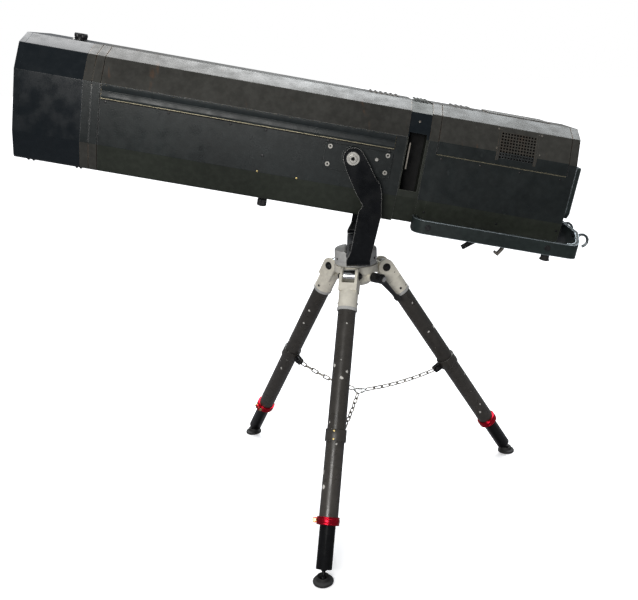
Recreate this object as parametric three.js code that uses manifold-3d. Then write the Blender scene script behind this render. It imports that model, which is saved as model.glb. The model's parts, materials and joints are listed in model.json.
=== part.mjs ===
// A theatre follow spot on a folding tripod, in millimetres, +Z up.
// The lantern points along -X. The origin is on the floor, at the middle of the object's box.
import * as THREE from "three";
import { mergeVertices } from "three/addons/utils/BufferGeometryUtils.js";
import Module from "manifold-3d";

const wasm = await Module();
wasm.setup();

// ---------- driving dimensions ----------
const GAP = 0.3; // left between pieces that touch
const RUNNING_GAP = 0.8; // left round a pin that turns in its hole
const DEG = Math.PI / 180;
// Sides of a round piece, by its size.
const LARGE = 22;
const MEDIUM = 14;
const SMALL = 10;

// Tripod: three legs that hinge on a cast head and splay from the vertical.
const HINGE_RADIUS = 101.2; // leg hinge, from the pan axis
const HINGE_HEIGHT = 829.7;
const FOOT_RADIUS = 625.9; // where the leg's axis meets the floor
const FIRST_LEG_AZIMUTH = -101.6;
const TUBE_RADIUS = 30;
const INNER_RADIUS = 25;
const TUBE_WALL = 4.2;
const COLLAR_STATIONS = [531, 467, 467]; // along each leg, to the middle of its chain collar
const RING_STATION = 795; // along the leg, to the middle of the clamp ring
const BALL_HEIGHT = 15; // foot ball above the floor

// Yoke: a flat bar bent to a U.
const ARM_INSIDE = 212;
const ARM_OUTSIDE = 228;
const CROSSBAR_TOP = 905;
const BAR_THICKNESS = ARM_OUTSIDE - ARM_INSIDE;
const HUB_RADIUS = 73;
const HUB_TOP = 903;
const HEAD_TOP = 850;

// Lantern: stations along its own axis from the tilt axis, the nose being negative.
const TILT_HEIGHT = 1233.4;
const NOSE_UP = 11.3; // degrees, as it stands
const NOSE_FRONT = -1038;
const NOSE_REAR = -833.4;
const BAND_SEAM = -806.6;
const BODY_FRONT = -780.2;
const BODY_REAR = 153.1;
const HOUSE_FRONT = 220.1;
const HOUSE_BAND = 249.4;
const HOUSE_REAR_BAND = 658.6;
const HOUSE_REAR = 683.9;
const SHEET = 2;
// Half of the lantern's cross-section, as distance from the middle and height.
const TOP_EDGE = [96.5, 193.3];
const SHOULDER = [157.1, 164.6];
const SIDE_TOP = [190, 87.8];
const SIDE_BOTTOM = [190, -94];
const SKIRT = [173.1, -171];
const FLOOR_EDGE = [166, -178];
const HALF_SECTION = [FLOOR_EDGE, SKIRT, SIDE_BOTTOM, SIDE_TOP, SHOULDER, TOP_EDGE];
const BODY_SEAM = 88; // where the main cover meets the tray
const HOUSE_SEAM = 52; // where the lamp-house cover meets its chassis

// ---------- solids ----------
function toSolid(geometry, matrix = new THREE.Matrix4()) {
  const bare = geometry.clone().applyMatrix4(matrix);
  bare.deleteAttribute("normal");
  bare.deleteAttribute("uv");
  const merged = mergeVertices(bare, 1e-4);
  return new wasm.Manifold(
    new wasm.Mesh({
      numProp: 3,
      vertProperties: merged.attributes.position.array,
      triVerts: new Uint32Array(merged.index.array),
    }),
  );
}

function toGeometry(solid) {
  const mesh = solid.getMesh();
  const geometry = new THREE.BufferGeometry();
  geometry.setAttribute("position", new THREE.BufferAttribute(mesh.vertProperties, 3));
  geometry.setIndex(new THREE.BufferAttribute(mesh.triVerts, 1));
  geometry.computeVertexNormals();
  return geometry;
}

const join = (...solids) => solids.reduce((a, b) => a.add(b));
const cut = (solid, ...tools) => tools.reduce((a, b) => a.subtract(b), solid);

function shapeOf(points) {
  return new THREE.Shape(points.map(([x, y]) => new THREE.Vector2(x, y)));
}

function extrude(points, depth, basis, origin) {
  const geometry = new THREE.ExtrudeGeometry(shapeOf(points), { depth, bevelEnabled: false });
  const matrix = new THREE.Matrix4().makeBasis(...basis.map((v) => new THREE.Vector3(...v)));
  return toSolid(geometry, matrix.setPosition(...origin));
}

// An outline of [y, z] points carried along X, of [x, z] along Y, and of [x, y] along Z.
const alongX = (points, x0, x1) =>
  extrude(points, x1 - x0, [[0, 1, 0], [0, 0, 1], [1, 0, 0]], [x0, 0, 0]);
const alongY = (points, y0, y1) =>
  extrude(points, y1 - y0, [[1, 0, 0], [0, 0, 1], [0, -1, 0]], [0, y1, 0]);
const alongZ = (points, z0, z1) =>
  extrude(points, z1 - z0, [[1, 0, 0], [0, 1, 0], [0, 0, 1]], [0, 0, z0]);

function block(x0, x1, y0, y1, z0, z1) {
  const geometry = new THREE.BoxGeometry(x1 - x0, y1 - y0, z1 - z0);
  const middle = [(x0 + x1) / 2, (y0 + y1) / 2, (z0 + z1) / 2];
  return toSolid(geometry, new THREE.Matrix4().makeTranslation(...middle));
}

// Turns the Z axis of a piece to run from one point towards another, starting at the first.
function aim(from, to) {
  const start = new THREE.Vector3(...from);
  const direction = new THREE.Vector3(...to).sub(start).normalize();
  const turn = new THREE.Quaternion().setFromUnitVectors(new THREE.Vector3(0, 0, 1), direction);
  return new THREE.Matrix4().makeRotationFromQuaternion(turn).setPosition(start);
}

// A turned piece: [radius, distance] points from one end of its axis to the other.
function turned(profile, from, to, sides = MEDIUM) {
  const points = profile.map(([r, z]) => new THREE.Vector2(r, z));
  const upright = new THREE.Matrix4().makeRotationX(Math.PI / 2);
  return toSolid(new THREE.LatheGeometry(points, sides), aim(from, to).multiply(upright));
}

function rod(radius, from, to, sides = SMALL) {
  const length = new THREE.Vector3(...from).distanceTo(new THREE.Vector3(...to));
  return turned([[0, 0], [radius, 0], [radius, length], [0, length]], from, to, sides);
}

function ball(radius, centre) {
  const matrix = new THREE.Matrix4().makeTranslation(...centre);
  return toSolid(new THREE.SphereGeometry(radius, 10, 6), matrix);
}

// Points of an arc about a centre, both ends included.
function arc(centre, radius, startDegrees, endDegrees, steps) {
  const points = [];
  for (let i = 0; i <= steps; i++) {
    const a = (startDegrees + ((endDegrees - startDegrees) * i) / steps) * DEG;
    points.push([centre[0] + radius * Math.cos(a), centre[1] + radius * Math.sin(a)]);
  }
  return points;
}

function roundedRectangle(x0, x1, y0, y1, radius) {
  return [
    ...arc([x1 - radius, y0 + radius], radius, -90, 0, 4),
    ...arc([x1 - radius, y1 - radius], radius, 0, 90, 4),
    ...arc([x0 + radius, y1 - radius], radius, 90, 180, 4),
    ...arc([x0 + radius, y0 + radius], radius, 180, 270, 4),
  ];
}

// A round-section wire along a list of points.
function wire(points, radius, sides, steps) {
  const curve = new THREE.CatmullRomCurve3(points.map((p) => new THREE.Vector3(...p)));
  const section = shapeOf(arc([0, 0], radius, 0, 360 - 360 / sides, sides - 1));
  return toSolid(new THREE.ExtrudeGeometry(section, { steps, extrudePath: curve }));
}

// ---------- the lantern's cross-section ----------
const mirror = (half) => [...half, ...half.map(([y, z]) => [-y, z]).reverse()];
const SECTION = mirror(HALF_SECTION);

// The section with every edge moved inwards by a distance.
function inset(distance) {
  const count = SECTION.length;
  const edges = SECTION.map((p, i) => {
    const q = SECTION[(i + 1) % count];
    const length = Math.hypot(q[0] - p[0], q[1] - p[1]);
    const normal = [-(q[1] - p[1]) / length, (q[0] - p[0]) / length];
    return { normal, offset: normal[0] * p[0] + normal[1] * p[1] + distance };
  });
  return edges.map((e, i) => {
    const f = edges[(i + count - 1) % count];
    const det = f.normal[0] * e.normal[1] - f.normal[1] * e.normal[0];
    return [
      (f.offset * e.normal[1] - f.normal[1] * e.offset) / det,
      (f.normal[0] * e.offset - f.offset * e.normal[0]) / det,
    ];
  });
}

// A length of the lantern's sheet-metal skin, and the solid that it encloses.
const core = (x0, x1, depth = SHEET) => alongX(inset(depth), x0, x1);
const skin = (x0, x1, depth = SHEET) => cut(alongX(SECTION, x0, x1), core(x0 - 1, x1 + 1, depth));
const above = (z) => block(-1200, 900, -300, 300, z, 400);
const below = (z) => block(-1200, 900, -300, 300, -400, z);
const disc = (radius, x0, x1) => rod(radius, [x0, 0, 0], [x1, 0, 0], LARGE);

// ---------- scene graph ----------
const material = (color, roughness, metalness) =>
  new THREE.MeshStandardMaterial({ color, roughness, metalness });
const GREY_HAMMER = material(0x3c3d3b, 0.5, 0.3);
const SIDE_GREY = material(0x30383a, 0.45, 0.3);
const SATIN_BLACK = material(0x15181a, 0.35, 0.2);
const CREAM_CAST = material(0xc8c3b4, 0.5, 0.2);
const PALE_CAST = material(0xa6a6a4, 0.5, 0.4);
const LEG_GREY = material(0x504c46, 0.4, 0.5);
const RED_ANODISED = material(0xc01424, 0.3, 0.8);
const BRIGHT_STEEL = material(0xb4b6b8, 0.3, 1);
const RUBBER = material(0x161616, 0.9, 0);
const GLASS = material(0xcfd8dc, 0.05, 0);

function add(group, name, solid, finish) {
  const mesh = new THREE.Mesh(toGeometry(solid), finish);
  mesh.name = name;
  group.add(mesh);
}

const followSpot = new THREE.Group();
const tripod = new THREE.Group();
const yoke = new THREE.Group();
const lantern = new THREE.Group();
followSpot.add(tripod, yoke, lantern);
lantern.position.z = TILT_HEIGHT;
lantern.rotation.y = NOSE_UP * DEG;

// ---------- tripod head ----------
const HEAD_RADIUS = 76;
const HEAD_RIM = 825; // underside of the head's top flange
const HEAD_BOTTOM = 780;
const BARREL_RADIUS = 21;
const BARREL_HALF = 20.7;
const PIN_RADIUS = 6;
const SPINDLE_RADIUS = 20;
const BEARING_RADIUS = 26;
const BEARING_BOTTOM = 798;
const azimuthOf = (leg) => (FIRST_LEG_AZIMUTH + 120 * leg) * DEG;

function polar(radius, azimuth, z) {
  return [radius * Math.cos(azimuth), radius * Math.sin(azimuth), z];
}

function headLug(leg) {
  const azimuth = azimuthOf(leg);
  const turn = new THREE.Matrix4().makeRotationZ(azimuth);
  const root = 45; // from the pan axis, inside the casting
  const middle = new THREE.Matrix4().makeTranslation((HINGE_RADIUS + root) / 2, 0, HINGE_HEIGHT);
  const arm = toSolid(
    new THREE.BoxGeometry(HINGE_RADIUS - root, 34, 34),
    turn.clone().multiply(middle),
  );
  const across = (half) => [-half, half].map((y) => {
    const point = new THREE.Vector3(HINGE_RADIUS, y, HINGE_HEIGHT).applyMatrix4(turn);
    return point.toArray();
  });
  const barrel = rod(BARREL_RADIUS, ...across(BARREL_HALF), MEDIUM);
  return cut(join(arm, barrel), rod(PIN_RADIUS + RUNNING_GAP, ...across(BARREL_HALF + 20), MEDIUM));
}

const STUD_AZIMUTH = azimuthOf(0) + 60 * DEG; // the pan-lock screw, midway between two legs
const STUD_HEIGHT = 810;
const STUD_RADIUS = 7;
const atStud = (radius) => polar(radius, STUD_AZIMUTH, STUD_HEIGHT);

function tripodHead() {
  const casting = turned(
    [[0, 0], [46, 0], [60, 14], [60, HEAD_RIM - HEAD_BOTTOM - 8], [HEAD_RADIUS, HEAD_RIM - HEAD_BOTTOM],
      [HEAD_RADIUS, HEAD_TOP - HEAD_BOTTOM], [0, HEAD_TOP - HEAD_BOTTOM]],
    [0, 0, HEAD_BOTTOM], [0, 0, HEAD_TOP], LARGE,
  );
  const boss = rod(17, atStud(40), atStud(74));
  const whole = join(casting, boss, headLug(0), headLug(1), headLug(2));
  const bore = rod(BEARING_RADIUS + GAP, [0, 0, BEARING_BOTTOM - GAP], [0, 0, HEAD_TOP + 5], LARGE);
  const drain = rod(9, [0, 0, HEAD_BOTTOM - 5], [0, 0, HEAD_TOP]);
  const studHole = rod(STUD_RADIUS + RUNNING_GAP, atStud(BEARING_RADIUS), atStud(90), MEDIUM);
  return cut(whole, bore, drain, studHole);
}

// The clamp screw and its tapered handle, which squeezes the pan bearing.
function panLockLever() {
  const stud = rod(STUD_RADIUS, atStud(40), atStud(100));
  const hub = rod(17, atStud(76), atStud(121), MEDIUM);
  const tangent = STUD_AZIMUTH + Math.PI / 2;
  const reach = 95; // sideways, and as far down
  const [x, y, z] = atStud(110);
  const tip = [x + reach * Math.cos(tangent), y + reach * Math.sin(tangent), z - reach];
  const handle = turned([[0, 0], [11, 0], [7, 130], [4, 134], [0, 134]], [x, y, z], tip, SMALL);
  return join(stud, hub, handle);
}

function panBearing() {
  return turned(
    [[SPINDLE_RADIUS + GAP, 0], [BEARING_RADIUS, 0], [BEARING_RADIUS, 48], [SPINDLE_RADIUS + GAP, 48],
      [SPINDLE_RADIUS + GAP, 0]],
    [0, 0, BEARING_BOTTOM], [0, 0, HEAD_TOP], LARGE,
  );
}

// ---------- legs ----------
const LEG_DROP = Math.hypot(FOOT_RADIUS - HINGE_RADIUS, HINGE_HEIGHT);
const SPLAY = Math.asin((FOOT_RADIUS - HINGE_RADIUS) / LEG_DROP);
const EAR_OUTSIDE = 31;
const EAR_RADIUS = 28;
const CASTING_END = 121;
const SOCKET_TOP = 74;
const RING_HALF = 12.5;
const TUBE_END = RING_STATION + RING_HALF - 2;
const INNER_TOP = 560;
const INNER_END = 926;
const BALL_STATION = (HINGE_HEIGHT - BALL_HEIGHT) / Math.cos(SPLAY);
const BALL_RADIUS = 9;
const LUG_REACH = 64; // chain lug, from the leg's axis towards the tripod's middle
const LUG_HALF = 8;
const SCREW_X = -50; // the wing screw through the lug
const at = (station, x = 0, y = 0) => [x, y, -station];

function legCasting() {
  const earOutline = [
    ...arc([0, 0], EAR_RADIUS, 0, 180, 10),
    [-EAR_RADIUS, -56],
    [EAR_RADIUS, -56],
  ];
  const ears = alongY(earOutline, -EAR_OUTSIDE, EAR_OUTSIDE);
  const slot = block(-60, 60, -BARREL_HALF - 0.6, BARREL_HALF + 0.6, -EAR_RADIUS - 2, 60);
  const socket = turned(
    [[0, 0], [27, 0], [33, 12], [33, CASTING_END - 46], [0, CASTING_END - 46]], at(46), at(CASTING_END),
  );
  const bore = rod(TUBE_RADIUS + GAP, at(SOCKET_TOP), at(CASTING_END + 5), MEDIUM);
  const pinHole = rod(PIN_RADIUS + GAP, [0, -50, 0], [0, 50, 0]);
  return cut(join(ears, socket), slot, bore, pinHole);
}

function hingeBolt() {
  const head = 12;
  const thick = 7;
  const shankEnd = thick + 2 * (EAR_OUTSIDE + GAP);
  const tip = shankEnd + thick;
  return turned(
    [[0, 0], [head, 0], [head, thick], [PIN_RADIUS, thick], [PIN_RADIUS, shankEnd], [head - 1, shankEnd],
      [head - 1, tip], [0, tip]],
    [0, -tip / 2, 0], [0, tip / 2, 0], SMALL,
  );
}

function legTube(collar) {
  const outer = rod(TUBE_RADIUS, at(SOCKET_TOP + GAP), at(TUBE_END), MEDIUM);
  const sleeve = rod(TUBE_RADIUS + 4, at(collar - 19), at(collar + 19), MEDIUM);
  const lug = block(-LUG_REACH, 0, -LUG_HALF, LUG_HALF, -collar - 14, -collar + 14);
  const bore = rod(TUBE_RADIUS - TUBE_WALL, at(SOCKET_TOP - 5), at(TUBE_END + 5), MEDIUM);
  const screwHole = rod(4 + GAP, at(collar, SCREW_X, -20), at(collar, SCREW_X, 20));
  return cut(join(outer, sleeve, lug), bore, screwHole);
}

function wingScrew(collar) {
  const shank = rod(4, at(collar, SCREW_X, -17), at(collar, SCREW_X, 14));
  const nut = rod(8, at(collar, SCREW_X, -14), at(collar, SCREW_X, -LUG_HALF - GAP), 6);
  const boss = rod(7, at(collar, SCREW_X, LUG_HALF + GAP), at(collar, SCREW_X, 17));
  const outline = [[-14, 3], [-12, 8], [-4, 3], [4, 3], [12, 8], [14, 3], [0, -4]]
    .map(([x, z]) => [x + SCREW_X, z - collar]);
  const blades = alongY(outline.reverse(), 11, 15);
  return join(shank, nut, boss, blades);
}

// The ears and their bolt stand to one side of the leg: side is 1 or -1.
function clampRing(side) {
  const band = rod(TUBE_RADIUS + 6, at(RING_STATION - RING_HALF), at(RING_STATION + RING_HALF), LARGE);
  const [y0, y1] = [side * (TUBE_RADIUS - 8), side * (TUBE_RADIUS + 17)].sort((a, b) => a - b);
  const ears = block(-10, 10, y0, y1, -RING_STATION - 8, -RING_STATION + 8);
  const bore = rod(TUBE_RADIUS + GAP, at(RING_STATION - 20), at(TUBE_END + GAP), MEDIUM);
  const throat = rod(INNER_RADIUS + 1, at(RING_STATION), at(RING_STATION + 20), MEDIUM);
  const split = block(-2, 2, y0 - 1, y1 + 1, -RING_STATION - 30, -RING_STATION + 30);
  const boltAt = (x) => at(RING_STATION, x, side * (TUBE_RADIUS + 10));
  const bolt = rod(4, boltAt(-17), boltAt(17), 8);
  const heads = [-1, 1].map((side) => rod(7, boltAt(side * 10), boltAt(side * 17), 6));
  return join(cut(join(band, ears), bore, throat, split), bolt, ...heads);
}

// The sliding tube, its tapered plug and the ball that the foot turns on.
function legInner() {
  const wall = 3;
  const tube = turned(
    [[0, 0], [7, 0], [7, 10], [INNER_RADIUS, 30], [INNER_RADIUS, INNER_END + 4 - INNER_TOP],
      [INNER_RADIUS - wall, INNER_END + 4 - INNER_TOP], [INNER_RADIUS - wall, 36], [0, 36]],
    at(INNER_END + 30), at(INNER_TOP), 24,
  );
  return join(tube, ball(BALL_RADIUS, at(BALL_STATION)), rod(6, at(INNER_END + 20), at(BALL_STATION)));
}

const PAD_RADIUS = 32;

function footPad() {
  return turned(
    [[0, 0], [PAD_RADIUS, 0], [PAD_RADIUS, 7], [PAD_RADIUS - 4, 9], [21, 12], [20, 21], [17, 22],
      [BALL_RADIUS + 0.8, 15], [BALL_RADIUS + 0.8, 5.4], [0, 5.4]],
    [0, 0, 0], [0, 0, 10], LARGE,
  );
}

// ---------- spreader chains ----------
const LINK_HEIGHT = 367;
const LINK_RADIUS = 30; // from the pan axis to the triangular link's corners
const CHAIN_RADIUS = 5;
const CHAIN_SAG = 10;

function spreaderLink() {
  const corners = (radius) => [0, 1, 2].map((leg) => polar(radius, azimuthOf(leg), 0).slice(0, 2));
  const bar = 7;
  return cut(
    alongZ(corners(LINK_RADIUS), LINK_HEIGHT - bar / 2, LINK_HEIGHT + bar / 2),
    alongZ(corners(LINK_RADIUS - 2 * bar), LINK_HEIGHT - bar, LINK_HEIGHT + bar),
  );
}

// From the link's corner to the lug on a leg, in the leg's own upright plane.
function chain(collar) {
  const radial = HINGE_RADIUS + collar * Math.sin(SPLAY) - (LUG_REACH + 6) * Math.cos(SPLAY);
  const height = HINGE_HEIGHT - collar * Math.cos(SPLAY) - (LUG_REACH + 6) * Math.sin(SPLAY);
  const start = [LINK_RADIUS + 3, LINK_HEIGHT];
  const points = [0, 0.25, 0.5, 0.75, 1].map((t) => [
    start[0] + t * (radial - start[0]),
    0,
    start[1] + t * (height - start[1]) - CHAIN_SAG * 4 * t * (1 - t),
  ]);
  return wire(points, CHAIN_RADIUS, 6, 5);
}

add(tripod, "tripod_head", tripodHead(), CREAM_CAST);
add(tripod, "pan_bearing", panBearing(), BRIGHT_STEEL);
add(tripod, "pan_lock_lever", panLockLever(), SATIN_BLACK);
add(tripod, "spreader_link", spreaderLink(), BRIGHT_STEEL);

["front", "right", "left"].forEach((side, leg) => {
  const upright = new THREE.Group();
  upright.rotation.z = azimuthOf(leg);
  const hinge = new THREE.Group();
  hinge.position.set(HINGE_RADIUS, 0, HINGE_HEIGHT);
  hinge.rotation.y = -SPLAY;
  upright.add(hinge);
  tripod.add(upright);
  const collar = COLLAR_STATIONS[leg];
  add(hinge, "leg_casting_" + side, legCasting(), CREAM_CAST);
  add(hinge, "hinge_bolt_" + side, hingeBolt(), BRIGHT_STEEL);
  add(hinge, "leg_tube_" + side, legTube(collar), LEG_GREY);
  add(hinge, "wing_screw_" + side, wingScrew(collar), SATIN_BLACK);
  add(hinge, "clamp_ring_" + side, clampRing(leg === 0 ? -1 : 1), RED_ANODISED);
  add(hinge, "leg_inner_" + side, legInner(), SATIN_BLACK);
  const foot = new THREE.Group();
  foot.position.x = HINGE_RADIUS + BALL_STATION * Math.sin(SPLAY);
  upright.add(foot);
  add(foot, "foot_pad_" + side, footPad(), RUBBER);
  add(upright, "chain_" + side, chain(collar), BRIGHT_STEEL);
});

// ---------- pan hub and yoke ----------
const CROSSBAR_FRONT = -30;
const CROSSBAR_BACK = 46;
const BEND_RADIUS = 34;
const TRUNNION_RADIUS = 8;

function panHub() {
  const rim = 6;
  const base = HEAD_TOP + 0.5;
  const drum = turned(
    [[0, 0], [HUB_RADIUS, 0], [HUB_RADIUS, HUB_TOP - base - rim], [HUB_RADIUS - rim, HUB_TOP - base],
      [0, HUB_TOP - base]],
    [0, 0, base], [0, 0, HUB_TOP], LARGE,
  );
  const spindle = rod(SPINDLE_RADIUS, [0, 0, BEARING_BOTTOM + 2], [0, 0, base + 5], LARGE);
  const slot = block(
    CROSSBAR_FRONT - GAP, CROSSBAR_BACK + GAP, -100, 100, CROSSBAR_TOP - BAR_THICKNESS - GAP, 950,
  );
  return cut(join(drum, spindle), slot);
}

function yokeFrame() {
  const bendZ = CROSSBAR_TOP - BAR_THICKNESS + BEND_RADIUS;
  const outer = [
    ...arc([-ARM_OUTSIDE + BEND_RADIUS, bendZ], BEND_RADIUS, 180, 270, 5),
    ...arc([ARM_OUTSIDE - BEND_RADIUS, bendZ], BEND_RADIUS, 270, 360, 5),
    [ARM_OUTSIDE, 1300],
    [-ARM_OUTSIDE, 1300],
  ];
  const small = BEND_RADIUS - BAR_THICKNESS;
  const inner = [
    ...arc([-ARM_INSIDE + small, bendZ], small, 180, 270, 4),
    ...arc([ARM_INSIDE - small, bendZ], small, 270, 360, 4),
    [ARM_INSIDE, 1310],
    [-ARM_INSIDE, 1310],
  ];
  const bent = cut(alongX(outer, -60, 110), alongX(inner, -61, 111));
  // The cranked outline of both arms, seen from the side, down to the crossbar.
  const outline = [
    [CROSSBAR_FRONT, 880], [CROSSBAR_BACK, 880], [CROSSBAR_BACK, 916], [71, 1011], [83, 1058], [85, 1124],
    [81, 1153], [64, 1180], [48, 1218],
    ...arc([2, TILT_HEIGHT], 33, 35, 180, 10),
    [-19, 1191], [4, 1133], [26, 1088], [13, 1073], [-15, 944], [CROSSBAR_FRONT, 916],
  ];
  const bores = rod(TRUNNION_RADIUS + GAP, [0, -260, TILT_HEIGHT], [0, 260, TILT_HEIGHT], MEDIUM);
  return cut(bent.intersect(alongY(outline, -260, 260)), bores);
}

add(yoke, "pan_hub", panHub(), PALE_CAST);
add(yoke, "yoke_frame", yokeFrame(), SATIN_BLACK);

// ---------- trunnions: the tilt pivots, bolted to the lantern's sides ----------
const SIDE_FACE = SIDE_TOP[0];

function trunnion(side) {
  const inner = SIDE_FACE + GAP;
  const [y0, y1] = [side * inner, side * (inner + 6)].sort((a, b) => a - b);
  const plate = block(-90, 120, y0, y1, -46, 33);
  const across = (radius, from, to, sides) => rod(radius, [0, side * from, 0], [0, side * to, 0], sides);
  const boss = across(32, inner + 5, ARM_INSIDE - 0.5, LARGE);
  const shank = across(TRUNNION_RADIUS, ARM_INSIDE - 2, ARM_OUTSIDE + 2, MEDIUM);
  const washer = across(18, ARM_OUTSIDE + 0.5, ARM_OUTSIDE + 4, MEDIUM);
  const screw = across(8, ARM_OUTSIDE + 3, ARM_OUTSIDE + 9, SMALL);
  const hex = across(4, ARM_OUTSIDE + 5, ARM_OUTSIDE + 12, 6);
  return cut(join(plate, boss, shank, washer, screw), hex);
}

add(lantern, "trunnion_near", trunnion(-1), BRIGHT_STEEL);
add(lantern, "trunnion_far", trunnion(1), BRIGHT_STEEL);

// ---------- main body ----------
const RAIL_BOTTOM = 38;
const RAIL_PROUD = 7;
const ROD_RADIUS = 6;
const ROD_Y = 120;
const ROD_Z = -140;
const KNOB_Y = 140; // the two lens knobs hang through slots this far either side
// Each lens carriage: where it stands, how far it slides either way, its lens and its knob's side.
const FRONT_LENS = { x: -600, back: 120, forth: 160, radius: 108, side: 1 };
const REAR_LENS = { x: -262, back: 140, forth: 200, radius: 84, side: -1 };
const STEM_HALF = 4;

function lensSlot({ x, back, forth, side }) {
  const y = side * KNOB_Y;
  const room = STEM_HALF + 2;
  return block(x - back - room, x + forth + room, y - room, y + room, -190, -160);
}

function mainCover() {
  const vents = [20, 37, 54, 71, 88, 105].map((x) => block(x, x + 7, -86, 86, 180, 200));
  return cut(skin(BODY_FRONT + GAP, BODY_REAR).intersect(above(BODY_SEAM + GAP)), ...vents);
}

function mainTray() {
  const shell = skin(BODY_FRONT + GAP, BODY_REAR).intersect(below(BODY_SEAM));
  const saddles = [BODY_FRONT + 8, BODY_REAR - 18].flatMap((x) =>
    [-ROD_Y, ROD_Y].map((y) => block(x, x + 10, y - 12, y + 12, -176, ROD_Z + 12)));
  const rods = [-ROD_Y, ROD_Y].map((y) =>
    rod(ROD_RADIUS + GAP, [BODY_FRONT - 5, y, ROD_Z], [BODY_REAR + 5, y, ROD_Z]));
  return cut(join(shell, ...saddles), ...rods, lensSlot(FRONT_LENS), lensSlot(REAR_LENS));
}

// Extruded rail over the seam: two fine grooves and a drip lip along its lower edge.
function sideRail(side) {
  const inside = SIDE_FACE + GAP;
  const outside = inside + RAIL_PROUD;
  const outline = [
    [inside, RAIL_BOTTOM], [outside + 2, RAIL_BOTTOM], [outside + 2, RAIL_BOTTOM + 4],
    [outside - 2, RAIL_BOTTOM + 14], [outside - 2, 66], [outside - 3.5, 67.5], [outside - 2, 69],
    [outside - 2, 86], [inside, BODY_SEAM],
  ];
  const placed = side > 0 ? outline : outline.map(([y, z]) => [-y, z]).reverse();
  return alongX(placed, BODY_FRONT + 4, 120);
}

add(lantern, "main_cover", mainCover(), GREY_HAMMER);
add(lantern, "main_tray", mainTray(), SIDE_GREY);
add(lantern, "side_rail_near", sideRail(-1), SIDE_GREY);
add(lantern, "side_rail_far", sideRail(1), SIDE_GREY);

// ---------- nose ----------
const FRAME_X = -895; // the colour frame stands here, under its slot
const FRAME_HALF = 90;
const FRONT_PORT = 116;

function noseHousing() {
  const slot = block(FRAME_X - 6, FRAME_X + 6, -FRAME_HALF - 2, FRAME_HALF + 2, 180, 200);
  return cut(skin(NOSE_FRONT, NOSE_REAR), slot);
}

function frontPlate() {
  const port = disc(FRONT_PORT, NOSE_FRONT, NOSE_FRONT + 20);
  return cut(core(NOSE_FRONT + 4, NOSE_FRONT + 8, SHEET + GAP), port);
}

function frontBand() {
  const groove = skin(BAND_SEAM - 1, BAND_SEAM + 1, 1.5);
  const port = disc(FRONT_PORT + 8, NOSE_REAR, BODY_FRONT);
  const web = cut(core(BAND_SEAM - 2, BAND_SEAM + 2, SHEET - 1), port);
  return join(cut(skin(NOSE_REAR + GAP, BODY_FRONT), groove), web);
}

// A colour frame that lifts out of the top by its knob.
function colourFrame() {
  const panel = cut(
    block(FRAME_X - 2, FRAME_X + 2, -FRAME_HALF, FRAME_HALF, -86, 186),
    disc(80, FRAME_X - 5, FRAME_X + 5),
  );
  const neck = rod(6, [FRAME_X, -40, 180], [FRAME_X, -40, 205]);
  const knob = rod(19, [FRAME_X, -40, 195], [FRAME_X, -40, 214], MEDIUM);
  const strap = block(FRAME_X - 4, FRAME_X + 4, -60, -20, 182, 196);
  return join(panel, strap, neck, knob);
}

add(lantern, "nose_housing", noseHousing(), SATIN_BLACK);
add(lantern, "front_plate", frontPlate(), SATIN_BLACK);
add(lantern, "front_band", frontBand(), GREY_HAMMER);
add(lantern, "colour_frame", colourFrame(), SATIN_BLACK);

// ---------- optics on their rods ----------
function lensCarriage({ x, radius, side }) {
  const half = 5;
  const ring = disc(radius + 12, x - half, x + half);
  const foot = block(x - half, x + half, -150, 150, -156, -126);
  const web = block(x - half, x + half, -90, 90, -140, -40);
  const stem = block(
    x - STEM_HALF, x + STEM_HALF, side * KNOB_Y - STEM_HALF, side * KNOB_Y + STEM_HALF, -182, -150,
  );
  const rods = [-ROD_Y, ROD_Y].map((y) =>
    rod(ROD_RADIUS + GAP, [x - 20, y, ROD_Z], [x + 20, y, ROD_Z]));
  return cut(join(ring, foot, web, stem), disc(radius + GAP, x - 20, x + 20), ...rods);
}

// A thick convex glass, flat enough at its rim to sit in the ring.
function lens({ x, radius }, bulge) {
  const edge = 4;
  const face = (sign) => arc([0, 0], 1, 0, 90, 3).map(([c, s]) => [radius * s, sign * (edge + bulge * c)]);
  const profile = [...face(-1), ...face(1).reverse()];
  return turned(profile, [x, 0, 0], [x + 1, 0, 0], LARGE);
}

function lensKnob({ x, side }) {
  const y = side * KNOB_Y;
  return turned([[0, 0], [12, 0], [15, 4], [15, 24], [0, 24]], [x, y, -207], [x, y, -183], SMALL);
}

const lensRod = (side) =>
  rod(ROD_RADIUS, [BODY_FRONT + 6, side * ROD_Y, ROD_Z], [BODY_REAR - 6, side * ROD_Y, ROD_Z]);

add(lantern, "lens_rod_near", lensRod(-1), BRIGHT_STEEL);
add(lantern, "lens_rod_far", lensRod(1), BRIGHT_STEEL);
add(lantern, "front_lens_carriage", lensCarriage(FRONT_LENS), SATIN_BLACK);
add(lantern, "front_lens", lens(FRONT_LENS, 22), GLASS);
add(lantern, "front_lens_knob", lensKnob(FRONT_LENS), RUBBER);
add(lantern, "rear_lens_carriage", lensCarriage(REAR_LENS), SATIN_BLACK);
add(lantern, "rear_lens", lens(REAR_LENS, 16), GLASS);
add(lantern, "rear_lens_knob", lensKnob(REAR_LENS), RUBBER);

// ---------- gate ----------
const WINDOW_TOP = 103;
const WINDOW_BOTTOM = -73;
const GATE_INSET = 4;
const PLATE_X = 214;
const GATE_APERTURE = 46;

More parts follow.
